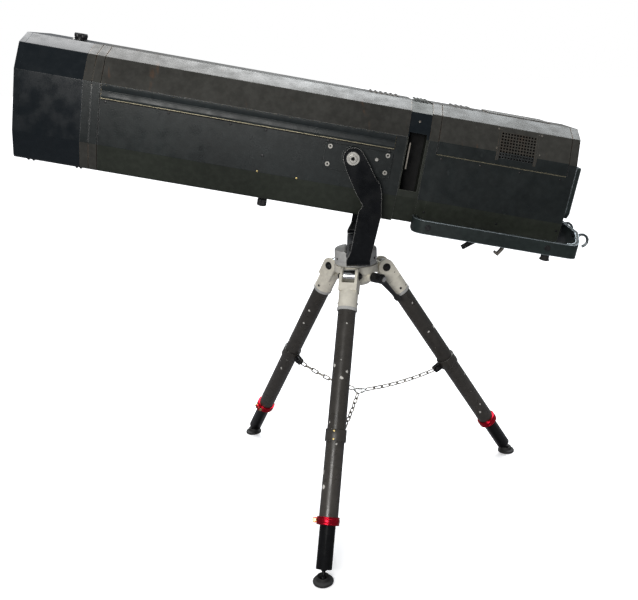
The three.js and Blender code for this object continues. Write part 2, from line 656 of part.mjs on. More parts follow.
function gateFrame() {
  const x0 = BODY_REAR + GAP;
  const x1 = HOUSE_FRONT - GAP;
  const ring = cut(alongX(inset(GATE_INSET), x0, x1), core(x0 - 1, x1 + 1, GATE_INSET + SHEET));
  const windows = block(x0 + 3, PLATE_X - 1, -250, 250, WINDOW_BOTTOM, WINDOW_TOP);
  const plate = core(PLATE_X, PLATE_X + 4, GATE_INSET + 1);
  const vents = [168, 180, 192, 204].map((x) => block(x, x + 5, -80, 80, 180, 200));
  return cut(join(cut(ring, windows), plate), disc(GATE_APERTURE, 150, 230), ...vents);
}

// The iris: a slotted ring turned by a lever that ends in an upright grip in the side window.
function irisLever() {
  const ring = cut(disc(84, 163, 166), disc(52, 160, 170));
  const arm = alongX([[-70, 8], [-194, 25], [-194, 37], [-70, 24]].reverse(), 163, 166);
  const grip = block(160, 169, -197, -193.5, -8, 72);
  return join(ring, arm, grip);
}

const DOWSER_Y = 126; // its pivot, level with the optical axis, on the far side
const DOWSER_THROW = 60 * DEG; // from clear of the beam to across it
const LEVER_REST = -38 * DEG; // the lever's own angle below level while the beam is clear

// The blackout blade: a disc on an arm that a lever on the far side drops across the gate.
function dowserBlade() {
  const [x0, x1] = [196, 198.5];
  const centre = [DOWSER_Y - DOWSER_Y * Math.cos(DOWSER_THROW), DOWSER_Y * Math.sin(DOWSER_THROW)];
  const blade = rod(50, [x0, ...centre], [x1, ...centre], LARGE);
  const hub = rod(13, [x0 - 2, DOWSER_Y, 0], [x1 + 1.5, DOWSER_Y, 0]);
  const spoke = [
    [DOWSER_Y + 8, -6], [DOWSER_Y + 8, 6], [centre[0] + 6, centre[1]], [centre[0] - 6, centre[1] - 8],
  ];
  const reach = 86;
  const along = (distance, offset) => [
    DOWSER_Y + distance * Math.cos(LEVER_REST) - offset * Math.sin(LEVER_REST),
    distance * Math.sin(LEVER_REST) + offset * Math.cos(LEVER_REST),
  ];
  const lever = [along(0, -7), along(reach, -5), along(reach, 5), along(0, 7)];
  const knob = rod(7, [x0 - 5, ...along(reach - 4, 0)], [x1 + 5, ...along(reach - 4, 0)]);
  return join(blade, hub, alongX(spoke, x0, x1), alongX(lever, x0, x1), knob);
}

add(lantern, "gate_frame", gateFrame(), SATIN_BLACK);
add(lantern, "iris_lever", irisLever(), BRIGHT_STEEL);
add(lantern, "dowser_blade", dowserBlade(), SATIN_BLACK);

// ---------- lamp house ----------
const LATCH_Y = -150;

function lampHouseChassis() {
  const front = skin(HOUSE_FRONT, HOUSE_BAND);
  const rear = skin(HOUSE_REAR_BAND, HOUSE_REAR);
  const tray = skin(HOUSE_FRONT, HOUSE_REAR).intersect(below(HOUSE_SEAM));
  const web = cut(core(HOUSE_FRONT + 4, HOUSE_FRONT + 7, SHEET - 1), disc(72, 200, 260));
  const latchPlate = block(430, 532, LATCH_Y - 14, LATCH_Y + 14, -185, -177);
  const hookOutline = [[500, -228], [512, -236], [528, -212], [532, -184], [500, -184]];
  const keeper = alongY(hookOutline, LATCH_Y - 12, LATCH_Y + 12);
  const feet = [-LATCH_Y, LATCH_Y].map((y) => rod(17, [668, y, -177], [668, y, -226]));
  const gland = rod(14, [600, 60, -177], [600, 60, -200]); // the mains lead would come in here
  const leadHole = rod(6, [600, 60, -170], [600, 60, -205]);
  return cut(join(front, rear, tray, web, latchPlate, keeper, gland, ...feet), leadHole);
}

function lampHouseCover() {
  const shell = skin(HOUSE_BAND + GAP, HOUSE_REAR_BAND - GAP).intersect(above(HOUSE_SEAM + GAP));
  const lip = (side) => block(
    HOUSE_BAND + 2, HOUSE_REAR_BAND - 2, Math.min(side * 188, side * 194), Math.max(side * 188, side * 194),
    HOUSE_SEAM + GAP, HOUSE_SEAM + 4,
  );
  const roofVents = [290, 308, 326, 344].map((x) => block(x, x + 7, -84, 84, 180, 200));
  const longVents = [-66, -44, -22, 0, 22, 44, 66].map((y) => block(430, 600, y - 4, y + 4, 180, 200));
  return cut(join(shell, lip(-1), lip(1)), ...roofVents, ...longVents);
}

// A flat plate over the open rear, with a strap to pull it by.
function rearDoor() {
  const thick = 15;
  const x0 = HOUSE_REAR + GAP;
  const outline = [[-189, -60], [-172, -78], [172, -78], [189, -60], [189, 84], [-189, 84]];
  const panel = alongX(outline, x0, x0 + thick);
  const pull = block(x0 + thick - 1, x0 + thick + 24, -66, -54, -34, 44);
  const hollow = block(x0 + thick + 0.5, x0 + thick + 18, -70, -50, -24, 34);
  return join(panel, cut(pull, hollow));
}

const RAIL_OUT = 250;
const RAIL_THICK = 12;
const RAIL_X0 = 216;
const RAIL_X1 = 742;
const RAIL_LOW = -188;
const RAIL_HIGH = -145;
const REAR_HIGH = -112;

// A bar bent right round the lamp house to steer by, taller across the back, with cable hooks.
function handleRail() {
  const plan = (grow, radius) =>
    roundedRectangle(RAIL_X0 + grow, RAIL_X1 - grow, -RAIL_OUT + grow, RAIL_OUT - grow, radius);
  const hoop = cut(
    alongZ(plan(0, 34), RAIL_LOW, REAR_HIGH),
    alongZ(plan(RAIL_THICK, 34 - RAIL_THICK), RAIL_LOW - 1, REAR_HIGH + 1),
  );
  const raisedHalf = [
    [260, -190], [250, RAIL_HIGH], [236, RAIL_HIGH + 4], [190, REAR_HIGH - 2], [180, REAR_HIGH + 1],
  ];
  const raised = alongX(mirror(raisedHalf), 700, 760);
  const bar = hoop.intersect(join(block(0, 800, -300, 300, -200, RAIL_HIGH), raised));
  // Across the front the bar runs in under the body only as far as the body's sides.
  const open = block(RAIL_X0 - 5, RAIL_X0 + 40, -168, 168, -200, -100);
  const body = alongX(inset(-GAP), 150, HOUSE_REAR + GAP);
  const straps = [-95, 95].map((y) => block(640, RAIL_X1 - 6, y - 12, y + 12, -183, -178.5));
  const hooks = [-180, 0, 180].map((y) => cableHook(y));
  return join(cut(bar, open, body), ...straps, ...hooks);
}

function cableHook(y) {
  const centre = [RAIL_X1 + 18, -137];
  const bend = arc(centre, 20, 150, -70, 5).map(([x, z]) => [x, y, z]);
  return wire([[RAIL_X1 - 6, y, -124], ...bend], 4.5, 6, 8);
}

// A lever under the tray that turns down to free it, round about its pivot so that it clears the plate.
function trayLatch() {
  const outline = [...arc([440, -193], 7.5, -75, 115, 6), [392, -226], [399, -234]];
  return alongY(outline, LATCH_Y - 11, LATCH_Y + 11);
}

add(lantern, "lamp_house_chassis", lampHouseChassis(), GREY_HAMMER);
add(lantern, "lamp_house_cover", lampHouseCover(), GREY_HAMMER);
add(lantern, "rear_door", rearDoor(), SATIN_BLACK);
add(lantern, "handle_rail", handleRail(), SIDE_GREY);
add(lantern, "tray_latch", trayLatch(), SATIN_BLACK);

// ---------- lamp and its optics ----------
function condenserLens() {
  const radius = 62;
  const bulge = arc([0, 0], 1, 90, 0, 5).map(([c, s]) => [radius * s, 8 + 24 * c]);
  const x = HOUSE_FRONT + 10;
  return turned([[0, 0], [radius, 0], ...bulge], [x, 0, 0], [x + 1, 0, 0], LARGE);
}

// An ellipsoidal bowl, open towards the gate, with a hole at its back for the lamp.
function reflector() {
  const wall = 3;
  const bowl = (size, depth) => {
    const points = [];
    for (let i = 0; i <= 5; i++) {
      const a = (14 + (76 * i) / 5) * DEG;
      points.push([size * Math.sin(a), depth * Math.cos(a)]);
    }
    return points;
  };
  const outer = bowl(118 + wall, 120 + wall);
  const inner = bowl(118, 120).reverse();
  return turned([...outer, ...inner, outer[0]].reverse(), [430, 0, 0], [600, 0, 0], LARGE);
}

function lamp() {
  return turned(
    [[0, 0], [9, 0], [9, 22], [5, 28], [14, 42], [17, 56], [14, 70], [6, 84], [11, 92], [11, 124], [0, 124]],
    [442, 0, 0], [570, 0, 0], 18,
  );
}

function lampHolder() {
  const cup = rod(24, [566 + GAP, 0, 0], [604, 0, 0], MEDIUM);
  const post = block(578, 598, -14, 14, -168, 0);
  const base = block(560, 616, -40, 40, -174.5, -160);
  return join(cup, post, base);
}

add(lantern, "condenser_lens", condenserLens(), GLASS);
add(lantern, "reflector", reflector(), BRIGHT_STEEL);
add(lantern, "lamp", lamp(), GLASS);
add(lantern, "lamp_holder", lampHolder(), BRIGHT_STEEL);

// ---------- stand it on the floor with the origin at the middle of its box ----------
followSpot.updateMatrixWorld(true);
const bounds = new THREE.Box3().setFromObject(followSpot, true);
const middle = bounds.getCenter(new THREE.Vector3());
followSpot.position.set(-middle.x, -middle.y, -bounds.min.z);

export default followSpot;
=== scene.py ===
# %% [markdown]
# A theatre follow spot is a long sheet-metal lantern on a yoke, and it stands on a folding tripod. The
# engineering model gives every piece its place and its motion. This lesson gives each piece its real look.
# It works in cells: each one makes one piece or one finish, and says how many points it made.

# %% Load the engineering model
import json
import math

import bmesh
import bpy
from mathutils import Matrix, Vector


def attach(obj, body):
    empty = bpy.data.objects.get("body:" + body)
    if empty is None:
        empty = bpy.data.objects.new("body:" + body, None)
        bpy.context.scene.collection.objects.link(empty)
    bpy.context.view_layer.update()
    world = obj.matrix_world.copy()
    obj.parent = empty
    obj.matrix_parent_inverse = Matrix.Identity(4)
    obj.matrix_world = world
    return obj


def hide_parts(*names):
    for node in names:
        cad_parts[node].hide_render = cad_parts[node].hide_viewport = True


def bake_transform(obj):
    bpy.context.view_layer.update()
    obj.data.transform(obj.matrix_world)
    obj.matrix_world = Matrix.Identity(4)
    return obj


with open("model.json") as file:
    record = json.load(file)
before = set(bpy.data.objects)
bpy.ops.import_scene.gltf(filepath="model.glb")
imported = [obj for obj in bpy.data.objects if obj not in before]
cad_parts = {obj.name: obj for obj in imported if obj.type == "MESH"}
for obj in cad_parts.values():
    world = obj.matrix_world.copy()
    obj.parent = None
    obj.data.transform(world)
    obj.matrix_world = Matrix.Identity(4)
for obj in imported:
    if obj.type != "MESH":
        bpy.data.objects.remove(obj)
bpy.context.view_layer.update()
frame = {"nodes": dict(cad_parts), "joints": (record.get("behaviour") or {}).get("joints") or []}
joints = {joint["name"]: joint for joint in frame["joints"]}
SIDES = ("front", "right", "left")

# %% [markdown]
# The camera stands in front of the near side, a little above the lantern, and looks down on it. A camera
# could be aimed with a constraint, but a matrix built from heading, pitch and roll says exactly how it is
# held. The small shift moves the object in the view, without turning the camera.

# %% Camera
CAMERA_PLACE = Vector((0.1616, -2.4833, 1.5267))
HEADING = math.radians(0.99)
PITCH_DOWN = math.radians(18.54)
ROLL = math.radians(1.74)
FILM_WIDTH, FOCAL_LENGTH = 36, 43.4
SHIFT_X, SHIFT_Y = -0.043, 0.0228

camera_data = bpy.data.cameras.new("camera")
camera_data.sensor_width = FILM_WIDTH
camera_data.lens = FOCAL_LENGTH
camera_data.shift_x = SHIFT_X
camera_data.shift_y = SHIFT_Y
camera = bpy.data.objects.new("camera", camera_data)
bpy.context.scene.collection.objects.link(camera)
level = Vector((math.cos(HEADING), math.sin(HEADING), 0))
ahead = Vector((
    -math.sin(HEADING) * math.cos(PITCH_DOWN),
    math.cos(HEADING) * math.cos(PITCH_DOWN),
    -math.sin(PITCH_DOWN),
))
above = level.cross(ahead)
right = math.cos(ROLL) * level - math.sin(ROLL) * above
up = math.sin(ROLL) * level + math.cos(ROLL) * above
camera.matrix_world = Matrix((right, up, -ahead)).transposed().to_4x4()
camera.matrix_world.translation = CAMERA_PLACE
bpy.context.scene.camera = camera
print("camera", [round(c, 3) for c in camera.location])

# %% [markdown]
# The studio is one pale floor without edges and soft light. A wide sun with a large angle lights the floor
# evenly right to the horizon, which an area lamp can't do. Area lamps then draw the long soft highlights on
# paint and tubes. The world looks white behind the object but lights it only gently, and the floor throws
# less light back at the object than it shows, so that dark paint stays dark.


# %% Floor and lights
def studio_floor():
    mesh = bpy.data.meshes.new("floor")
    reach = 40
    corners = [(-reach, -reach, 0), (reach, -reach, 0), (reach, reach, 0), (-reach, reach, 0)]
    mesh.from_pydata(corners, [], [(0, 1, 2, 3)])
    floor = bpy.data.objects.new("floor", mesh)
    bpy.context.scene.collection.objects.link(floor)
    paper = bpy.data.materials.new("floor_paper")
    paper.use_nodes = True
    nodes = paper.node_tree.nodes
    links = paper.node_tree.links
    seen = nodes["Principled BSDF"]
    seen.inputs["Base Color"].default_value = (0.9, 0.9, 0.91, 1)
    seen.inputs["Roughness"].default_value = 0.9
    seen.inputs["Emission Color"].default_value = (1, 1, 1, 1)
    seen.inputs["Emission Strength"].default_value = 0.3
    mirrored = nodes.new("ShaderNodeBsdfDiffuse")
    mirrored.inputs["Color"].default_value = (0.16, 0.16, 0.17, 1)
    path = nodes.new("ShaderNodeLightPath")
    mix = nodes.new("ShaderNodeMixShader")
    links.new(path.outputs["Is Camera Ray"], mix.inputs["Fac"])
    links.new(mirrored.outputs["BSDF"], mix.inputs[1])
    links.new(seen.outputs["BSDF"], mix.inputs[2])
    links.new(mix.outputs["Shader"], nodes["Material Output"].inputs["Surface"])
    floor.data.materials.append(paper)


def soft_lamp(name, place, target, width, height, power, colour=(1, 1, 1)):
    data = bpy.data.lights.new(name, "AREA")
    data.shape = "RECTANGLE"
    data.size = width
    data.size_y = height
    data.energy = power
    data.color = colour
    lamp = bpy.data.objects.new(name, data)
    lamp.location = place
    lamp.rotation_euler = (Vector(target) - Vector(place)).to_track_quat("-Z", "Y").to_euler()
    bpy.context.scene.collection.objects.link(lamp)


def wide_sun(power, spread, tilt):
    data = bpy.data.lights.new("sky_light", "SUN")
    data.energy = power
    data.angle = math.radians(spread)
    sun = bpy.data.objects.new("sky_light", data)
    sun.rotation_euler = tilt
    bpy.context.scene.collection.objects.link(sun)


def world_light(brightness):
    world = bpy.data.worlds.new("studio")
    bpy.context.scene.world = world
    world.use_nodes = True
    nodes = world.node_tree.nodes
    links = world.node_tree.links
    lit = nodes["Background"]
    lit.inputs["Color"].default_value = (0.93, 0.96, 1, 1)
    lit.inputs["Strength"].default_value = brightness
    seen = nodes.new("ShaderNodeBackground")
    seen.inputs["Color"].default_value = (1, 1, 1, 1)
    path = nodes.new("ShaderNodeLightPath")
    mix = nodes.new("ShaderNodeMixShader")
    links.new(path.outputs["Is Camera Ray"], mix.inputs["Fac"])
    links.new(lit.outputs["Background"], mix.inputs[1])
    links.new(seen.outputs["Background"], mix.inputs[2])
    links.new(mix.outputs["Shader"], nodes["World Output"].inputs["Surface"])


studio_floor()
world_light(0.26)
wide_sun(3.4, 50, (math.radians(-24), math.radians(-8), 0))
soft_lamp("back_top_softbox", (1.3, 1.9, 3.7), (0.4, 0.1, 1.35), 3.6, 1.8, 100, (0.92, 0.97, 1))
soft_lamp("front_strip", (-0.35, -3.4, 1.5), (0.1, 0, 0.7), 0.35, 2.2, 9)
soft_lamp("front_fill", (-1.0, -4.0, 2.3), (-0.1, 0, 0.8), 1.7, 1.0, 80, (1, 0.98, 0.95))
bpy.context.scene.view_settings.view_transform = "Standard"
print("lights", len(bpy.data.lights))

# %% [markdown]
# Shader trees are easier to read as arithmetic. The next class wraps one socket and gives it +, - and *, so
# a wear mask can be written as edge * noise. Blender adds the Math nodes. Colours can't go through a Math
# node without turning grey, so they are blended with a Mix node by a method of its own.


# %% Shader arithmetic
class Value:
    """One output of a shader tree, which can be added, subtracted and multiplied like a number."""

    def __init__(self, finish, socket):
        self.finish = finish
        self.socket = socket

    def _math(self, operation, first, second):
        return self.finish.node("ShaderNodeMath", {"operation": operation}, {0: first, 1: second})

    def __add__(self, other):
        return self._math("ADD", self, other)

    def __sub__(self, other):
        return self._math("SUBTRACT", self, other)

    def __rsub__(self, other):
        return self._math("SUBTRACT", other, self)

    def __mul__(self, other):
        return self._math("MULTIPLY", self, other)

    __radd__ = __add__
    __rmul__ = __mul__

    def ramp(self, low, high, start=0.0, end=1.0):
        """Rises smoothly from start to end as the value goes from low to high."""
        limits = {"From Min": low, "From Max": high, "To Min": start, "To Max": end}
        settings = {"interpolation_type": "SMOOTHSTEP"}
        return self.finish.node("ShaderNodeMapRange", settings, {"Value": self, **limits})


class Finish:
    """A material on its way: its constants sit on the shader, and what varies is wired to it."""

    def __init__(self, name, **constants):
        self.material = bpy.data.materials.new(name)
        self.material.use_nodes = True
        self.tree = self.material.node_tree
        self.shader = self.tree.nodes["Principled BSDF"]
        for socket, value in constants.items():
            self.shader.inputs[socket.replace("_", " ")].default_value = value

    def node(self, kind, settings=None, inputs=None, output=0):
        """Adds a node: its settings first, then the values or links of its inputs."""
        made = self.tree.nodes.new(kind)
        for name, value in (settings or {}).items():
            setattr(made, name, value)
        for name, value in (inputs or {}).items():
            if isinstance(value, Value):
                self.tree.links.new(value.socket, made.inputs[name])
            else:
                made.inputs[name].default_value = value
        return Value(self, made.outputs[output])

    def wire(self, socket, value):
        self.tree.links.new(value.socket, self.shader.inputs[socket])

    def place(self, stretch=(1, 1, 1)):
        """Where a point of the piece lies, in metres, with each axis stretched."""
        spot = self.node("ShaderNodeTexCoord", output="Object")
        return self.node("ShaderNodeVectorMath", {"operation": "MULTIPLY"}, {0: spot, 1: stretch})

    def noise(self, scale, detail=3.0, stretch=(1, 1, 1), output="Fac"):
        inputs = {"Vector": self.place(stretch), "Scale": scale, "Detail": detail}
        return self.node("ShaderNodeTexNoise", None, inputs, output)

    def cells(self, scale, output="Distance", warp=0.0):
        """Distance to scattered points, or a random colour for each cell; warp frays the cells' outlines."""
        spot = self.place()
        if warp:
            fray = self.node("ShaderNodeTexNoise", None, {"Vector": spot, "Scale": scale * 4}, "Color")
            push = self.node("ShaderNodeVectorMath", {"operation": "SCALE"}, {0: fray, "Scale": warp})
            spot = self.node("ShaderNodeVectorMath", {"operation": "ADD"}, {0: spot, 1: push})
        return self.node("ShaderNodeTexVoronoi", None, {"Vector": spot, "Scale": scale}, output)

    def blend(self, mask, first, second):
        """The first colour where the mask is 0 and the second where it is 1."""
        made = self.tree.nodes.new("ShaderNodeMix")
        made.data_type = "RGBA"
        for name, value in (("Factor", mask), ("A", as_colour(first)), ("B", as_colour(second))):
            socket = next(s for s in made.inputs if s.name == name and s.enabled)
            if isinstance(value, Value):
                self.tree.links.new(value.socket, socket)
            else:
                socket.default_value = value
        return Value(self, next(s for s in made.outputs if s.enabled))

    def edges(self, radius):
        """Near 1 on edges that stand out, where paint wears first, and 0 on flat faces."""
        rounded = self.node("ShaderNodeBevel", {"samples": 4}, {"Radius": radius})
        flat = self.node("ShaderNodeNewGeometry", output="Normal")
        settings = {"operation": "DOT_PRODUCT"}
        same = self.node("ShaderNodeVectorMath", settings, {0: rounded, 1: flat}, "Value")
        return 1 - same

    def bump(self, height, depth):
        self.wire("Normal", self.node("ShaderNodeBump", None, {"Height": height, "Distance": depth}))


def as_colour(value):
    if isinstance(value, Value):
        return value
    return (*value, 1)


print("shader arithmetic ready")

# %% [markdown]
# Most of the sheet metal carries hammered paint: a dark grey that dries into small round dimples. It could
# be painted as an image, but a cell pattern gives dimples of a true size everywhere, and a noise shifts the
# colour a little from place to place. Where a fold or rim stands out the paint takes an edge colour: metal
# rubbed through, and on some paints a painted highlight as well.


# %% Hammered and gloss paints
def paint(name, colour, edge_colour, wear=0.5, rough=0.38, dimple=0.00012, chips=0.0,
          chip_colour=(0.75, 0.73, 0.68), rust=0.0, edge_radius=0.0025, grime=0.35, shine=0.25, scuffs=0.35):
    """Paint that varies in tone, with an edge colour of rubbed metal, on some paints also a painted
    highlight; it may be chipped, rusted and scuffed.
    """
    finish = Finish(name, Specular_IOR_Level=shine)
    broad = finish.noise(3.1, 4).ramp(0.3, 0.7)
    fine = finish.noise(60, 3).ramp(0.35, 0.7)
    dark = [c * (1 - grime) for c in colour]
    light = [min(1, c * (1 + grime * 0.9) + 0.004) for c in colour]
    shade = finish.blend(broad * 0.65 + fine * 0.35, dark, light)
    ragged = finish.noise(95, 4)
    edge_mask = (finish.edges(edge_radius) * 2.6 + ragged * 0.75 - (1.22 - wear * 0.5)).ramp(0, 0.14)
    scuffed = (finish.noise(14, 6, (3.0, 1, 1.6)) + ragged * 0.25).ramp(0.84, 0.9) * wear
    edge_layer = edge_colour
    if chips:
        to_middle = finish.cells(48, warp=0.006)
        cell_colour = finish.cells(48, "Color", warp=0.006)
        cell_value = finish.node("ShaderNodeSeparateColor", None, {"Color": cell_colour})
        chip = ((cell_value - (1 - chips)) * 2.0 - to_middle).ramp(0, 0.03)
        shade = finish.blend(chip, shade, chip_colour)
    if rust:
        stain = finish.noise(7, 6, (5, 1, 0.8)).ramp(0.62, 0.74) * finish.noise(50, 4).ramp(0.4, 0.6)
        shade = finish.blend(stain * rust, shade, (0.17, 0.075, 0.03))
        rusted = finish.noise(30, 4).ramp(0.4, 0.62) * min(1, rust * 1.6)
        edge_layer = finish.blend(rusted, edge_colour, (0.20, 0.09, 0.035))
    shade = finish.blend(scuffed * scuffs, shade, [min(1, c * 2.2 + 0.05) for c in colour])
    # The edge colour: rubbed-through metal, and on the handle, door and ledge paints also a painted
    # highlight.
    finish.wire("Base Color", finish.blend(edge_mask, shade, edge_layer))
    finish.wire("Metallic", edge_mask * 0.7)
    finish.wire("Roughness", finish.noise(24, 4).ramp(0.3, 0.75, rough - 0.07, rough + 0.12))
    finish.bump(finish.cells(380) + finish.noise(9, 2) * 0.6 - edge_mask * 0.5, dimple)
    return finish.material


def metal(name, colour, rough, grain=(1, 1, 1), stain=0.25, dull=(0.12, 0.1, 0.08)):
    """Bare or plated metal with stains and fine grain."""
    finish = Finish(name, Metallic=1.0)
    spots = finish.noise(22, 6).ramp(0.45, 0.75) * stain
    finish.wire("Base Color", finish.blend(spots, colour, dull))
    streaks = finish.noise(160, 4, grain)
    finish.wire("Roughness", streaks.ramp(0.3, 0.7, rough - 0.06, rough + 0.12) + spots * 0.3)
    finish.bump(streaks, 0.00004)
    return finish.material


def moulded(name, colour, rough, grain_depth=0.00006):
    """Dusty rubber or plastic with a fine grain."""
    finish = Finish(name)
    cloudy = finish.noise(35, 5).ramp(0.35, 0.7)
    dusty = finish.noise(9, 6).ramp(0.5, 0.75) * 0.4
    shade = finish.blend(cloudy, colour, [c * 1.7 + 0.004 for c in colour])
    finish.wire("Base Color", finish.blend(dusty, shade, [c + 0.05 for c in colour]))
    finish.wire("Roughness", cloudy.ramp(0, 1, rough, rough + 0.14))
    finish.bump(finish.noise(900, 2) + finish.noise(70, 3), grain_depth)
    return finish.material


def ground_glass(name, tint):
    """Optical glass with a little dust on it."""
    finish = Finish(name, Transmission_Weight=0.9, IOR=1.5)
    dust = finish.noise(40, 5).ramp(0.45, 0.8)
    finish.wire("Base Color", finish.blend(dust * 0.25, tint, (0.8, 0.78, 0.72)))
    finish.wire("Roughness", dust.ramp(0, 1, 0.02, 0.16))
    return finish.material


looks = {
    "shell": paint("hammered_grey", (0.041, 0.040, 0.035), (0.26, 0.23, 0.19), wear=0.6, rust=0.28,
                   rough=0.36),
    # Painted shade: the vertical side flats get a darker, bluer copy of the shell's hammered grey.
    "side": paint("hammered_grey_side_shade", (0.0125, 0.0165, 0.0165), (0.24, 0.24, 0.24), wear=0.5, rough=0.34),
    # Painted shade on the underside flats: a darker olive copy of the hammered grey. The gate sleeve is
    # painted with it too.
    "olive": paint("hammered_olive_and_under_shade", (0.022, 0.026, 0.019), (0.2, 0.2, 0.18), wear=0.45, rough=0.42),
    "rail": paint("rail_grey", (0.016, 0.021, 0.022), (0.34, 0.27, 0.13), wear=0.75, rough=0.34),
    # The ledges' edge colour is a continuous light yellowish line: wear together with a painted highlight.
    "ledge": paint("ledge_highlight_and_wear", (0.03, 0.032, 0.028), (0.46, 0.41, 0.28), wear=1.5, rough=0.34,
                   edge_radius=0.004),
    # Handle rail and rear door paint: its light bluish-grey edge colour is wear together with painted light
    # from above on top faces and edges.
    "handle": paint("handle_green_grey_lit_edges", (0.018, 0.026, 0.025), (0.55, 0.62, 0.66), wear=1.05, rough=0.4,
                    edge_radius=0.005, chips=0.06),
    "nose": paint("nose_black", (0.006, 0.0095, 0.0125), (0.10, 0.12, 0.14), wear=0.4, rough=0.25,
                  dimple=0.00003, grime=0.1, scuffs=0.02),
    # Flat black for straps and baffles inside, and as painted shade in the gate windows, under the rails and
    # in sockets.
    "inside": paint("black_inside_and_painted_shade", (0.006, 0.006, 0.006), (0.05, 0.05, 0.05), wear=0.2, rough=0.7),
    "yoke": paint("yoke_black", (0.0028, 0.0036, 0.0048), (0.62, 0.61, 0.57), wear=1.0, rough=0.22,
                  dimple=0.00002, chips=0.05, edge_radius=0.003, shine=0.18),
    "cream": paint("cream_paint", (0.86, 0.81, 0.70), (0.22, 0.2, 0.17), wear=0.5, rough=0.42, dimple=0.0001,
                   chips=0.10, chip_colour=(0.16, 0.13, 0.10), grime=0.2, edge_radius=0.003),
    "hub": paint("hub_grey", (0.56, 0.56, 0.545), (0.16, 0.15, 0.14), wear=0.5, rough=0.4, dimple=0.0001,
                 chips=0.05, chip_colour=(0.2, 0.18, 0.16), grime=0.18, edge_radius=0.003),
    "leg": paint("leg_hammered", (0.048, 0.043, 0.037), (0.5, 0.47, 0.42), wear=0.5, rough=0.3,
                 dimple=0.00015, chips=0.17, grime=0.3, shine=0.5),
    "inner": paint("inner_tube_black", (0.003, 0.0032, 0.0038), (0.2, 0.2, 0.2), wear=0.35, rough=0.2,
                   dimple=0.00001, shine=0.2, scuffs=0.03),
    "fitting": paint("fitting_black", (0.008, 0.008, 0.009), (0.3, 0.29, 0.27), wear=0.6, rough=0.34,
                     dimple=0.00006),
    "steel": metal("bright_steel", (0.62, 0.62, 0.60), 0.24),
    "dull_steel": metal("dull_steel", (0.27, 0.25, 0.22), 0.4, stain=0.6),
    "washer": metal("turned_washer", (0.42, 0.41, 0.38), 0.34, stain=0.35),
    "polished": metal("polished_barrel", (0.75, 0.76, 0.77), 0.16, (1, 1, 8), stain=0.1),
    "zinc": metal("yellow_zinc", (0.55, 0.43, 0.19), 0.3, stain=0.4),
    "blackened": metal("blackened_screw", (0.05, 0.05, 0.052), 0.4, stain=0.2),
    "red": metal("red_anodised", (0.58, 0.012, 0.03), 0.22, (1, 1, 10), stain=0.08, dull=(0.2, 0.01, 0.015)),
    "mirror": metal("mirror_bowl", (0.86, 0.86, 0.87), 0.06, stain=0.1),
    "rubber": moulded("black_rubber", (0.009, 0.009, 0.009), 0.6, 0.00012),
    "plastic": moulded("black_plastic", (0.006, 0.006, 0.007), 0.3),
    "glass": ground_glass("ground_glass", (0.92, 0.97, 0.96)),
    "quartz": ground_glass("quartz_envelope", (0.95, 0.95, 0.93)),
}
print("finishes", len(looks))

# %% [markdown]
# Pieces are made in millimetres in the place where they belong: on the lantern, on the stand or on one leg.
# Each place is a matrix read from the joints of the engineering model, so nothing is fitted by eye. The
# lantern's place has X along its axis and Z up through its roof, and tips back with it.

# %% Places
MM = 0.001


def place_of(origin, x_axis, y_axis, z_axis):
    """The matrix from millimetres in a place, with these axes, to metres in the world."""
    matrix = Matrix((x_axis, y_axis, z_axis)).transposed().to_4x4()
    matrix.translation = origin
    return matrix @ Matrix.Scale(MM, 4)


lantern_x = Vector(joints["front_lens_slide"]["axis"]).normalized()
lantern_z = Vector(joints["rear_door_swing"]["axis"]).normalized()
tilt_axis = Vector(joints["tilt"]["pos_m"])
LANTERN = place_of(tilt_axis, lantern_x, lantern_z.cross(lantern_x), lantern_z)
STAND = place_of((tilt_axis.x, tilt_axis.y, 0), (1, 0, 0), (0, 1, 0), (0, 0, 1))
LEGS = {}
FEET = {}
for side in SIDES:
    fold = joints["leg_fold_" + side]
    across = Vector(fold["axis"]).normalized()
    upwards = -Vector(joints["leg_slide_" + side]["axis"]).normalized()
    LEGS[side] = place_of(Vector(fold["pos_m"]), across.cross(upwards), across, upwards)
    ball = Vector(joints["foot_swivel_" + side]["pos_m"])
    FEET[side] = place_of((ball.x, ball.y, 0), across.cross((0, 0, 1)), across, (0, 0, 1))
print("tilt axis", round(tilt_axis.z / MM, 1), "mm above the floor")

# %% [markdown]
# Blender could build these pieces with its primitives and modifiers. Here one small class collects the
# rings, turned profiles, prisms, bent wires and folded sheets of a piece in a bmesh, because most of the
# object is turned, folded or cut from bar, and a skin from ring to ring makes most of them. Edges get a
# small chamfer, as a file would leave, since an edge without one never catches the light.


# %% The maker of shapes
SMALLEST_RADIUS = 0.02
CREASE = math.radians(32)


def circle(sides):
    """Angles all the way round, in radians."""
    return [2 * math.pi * i / sides for i in range(sides)]


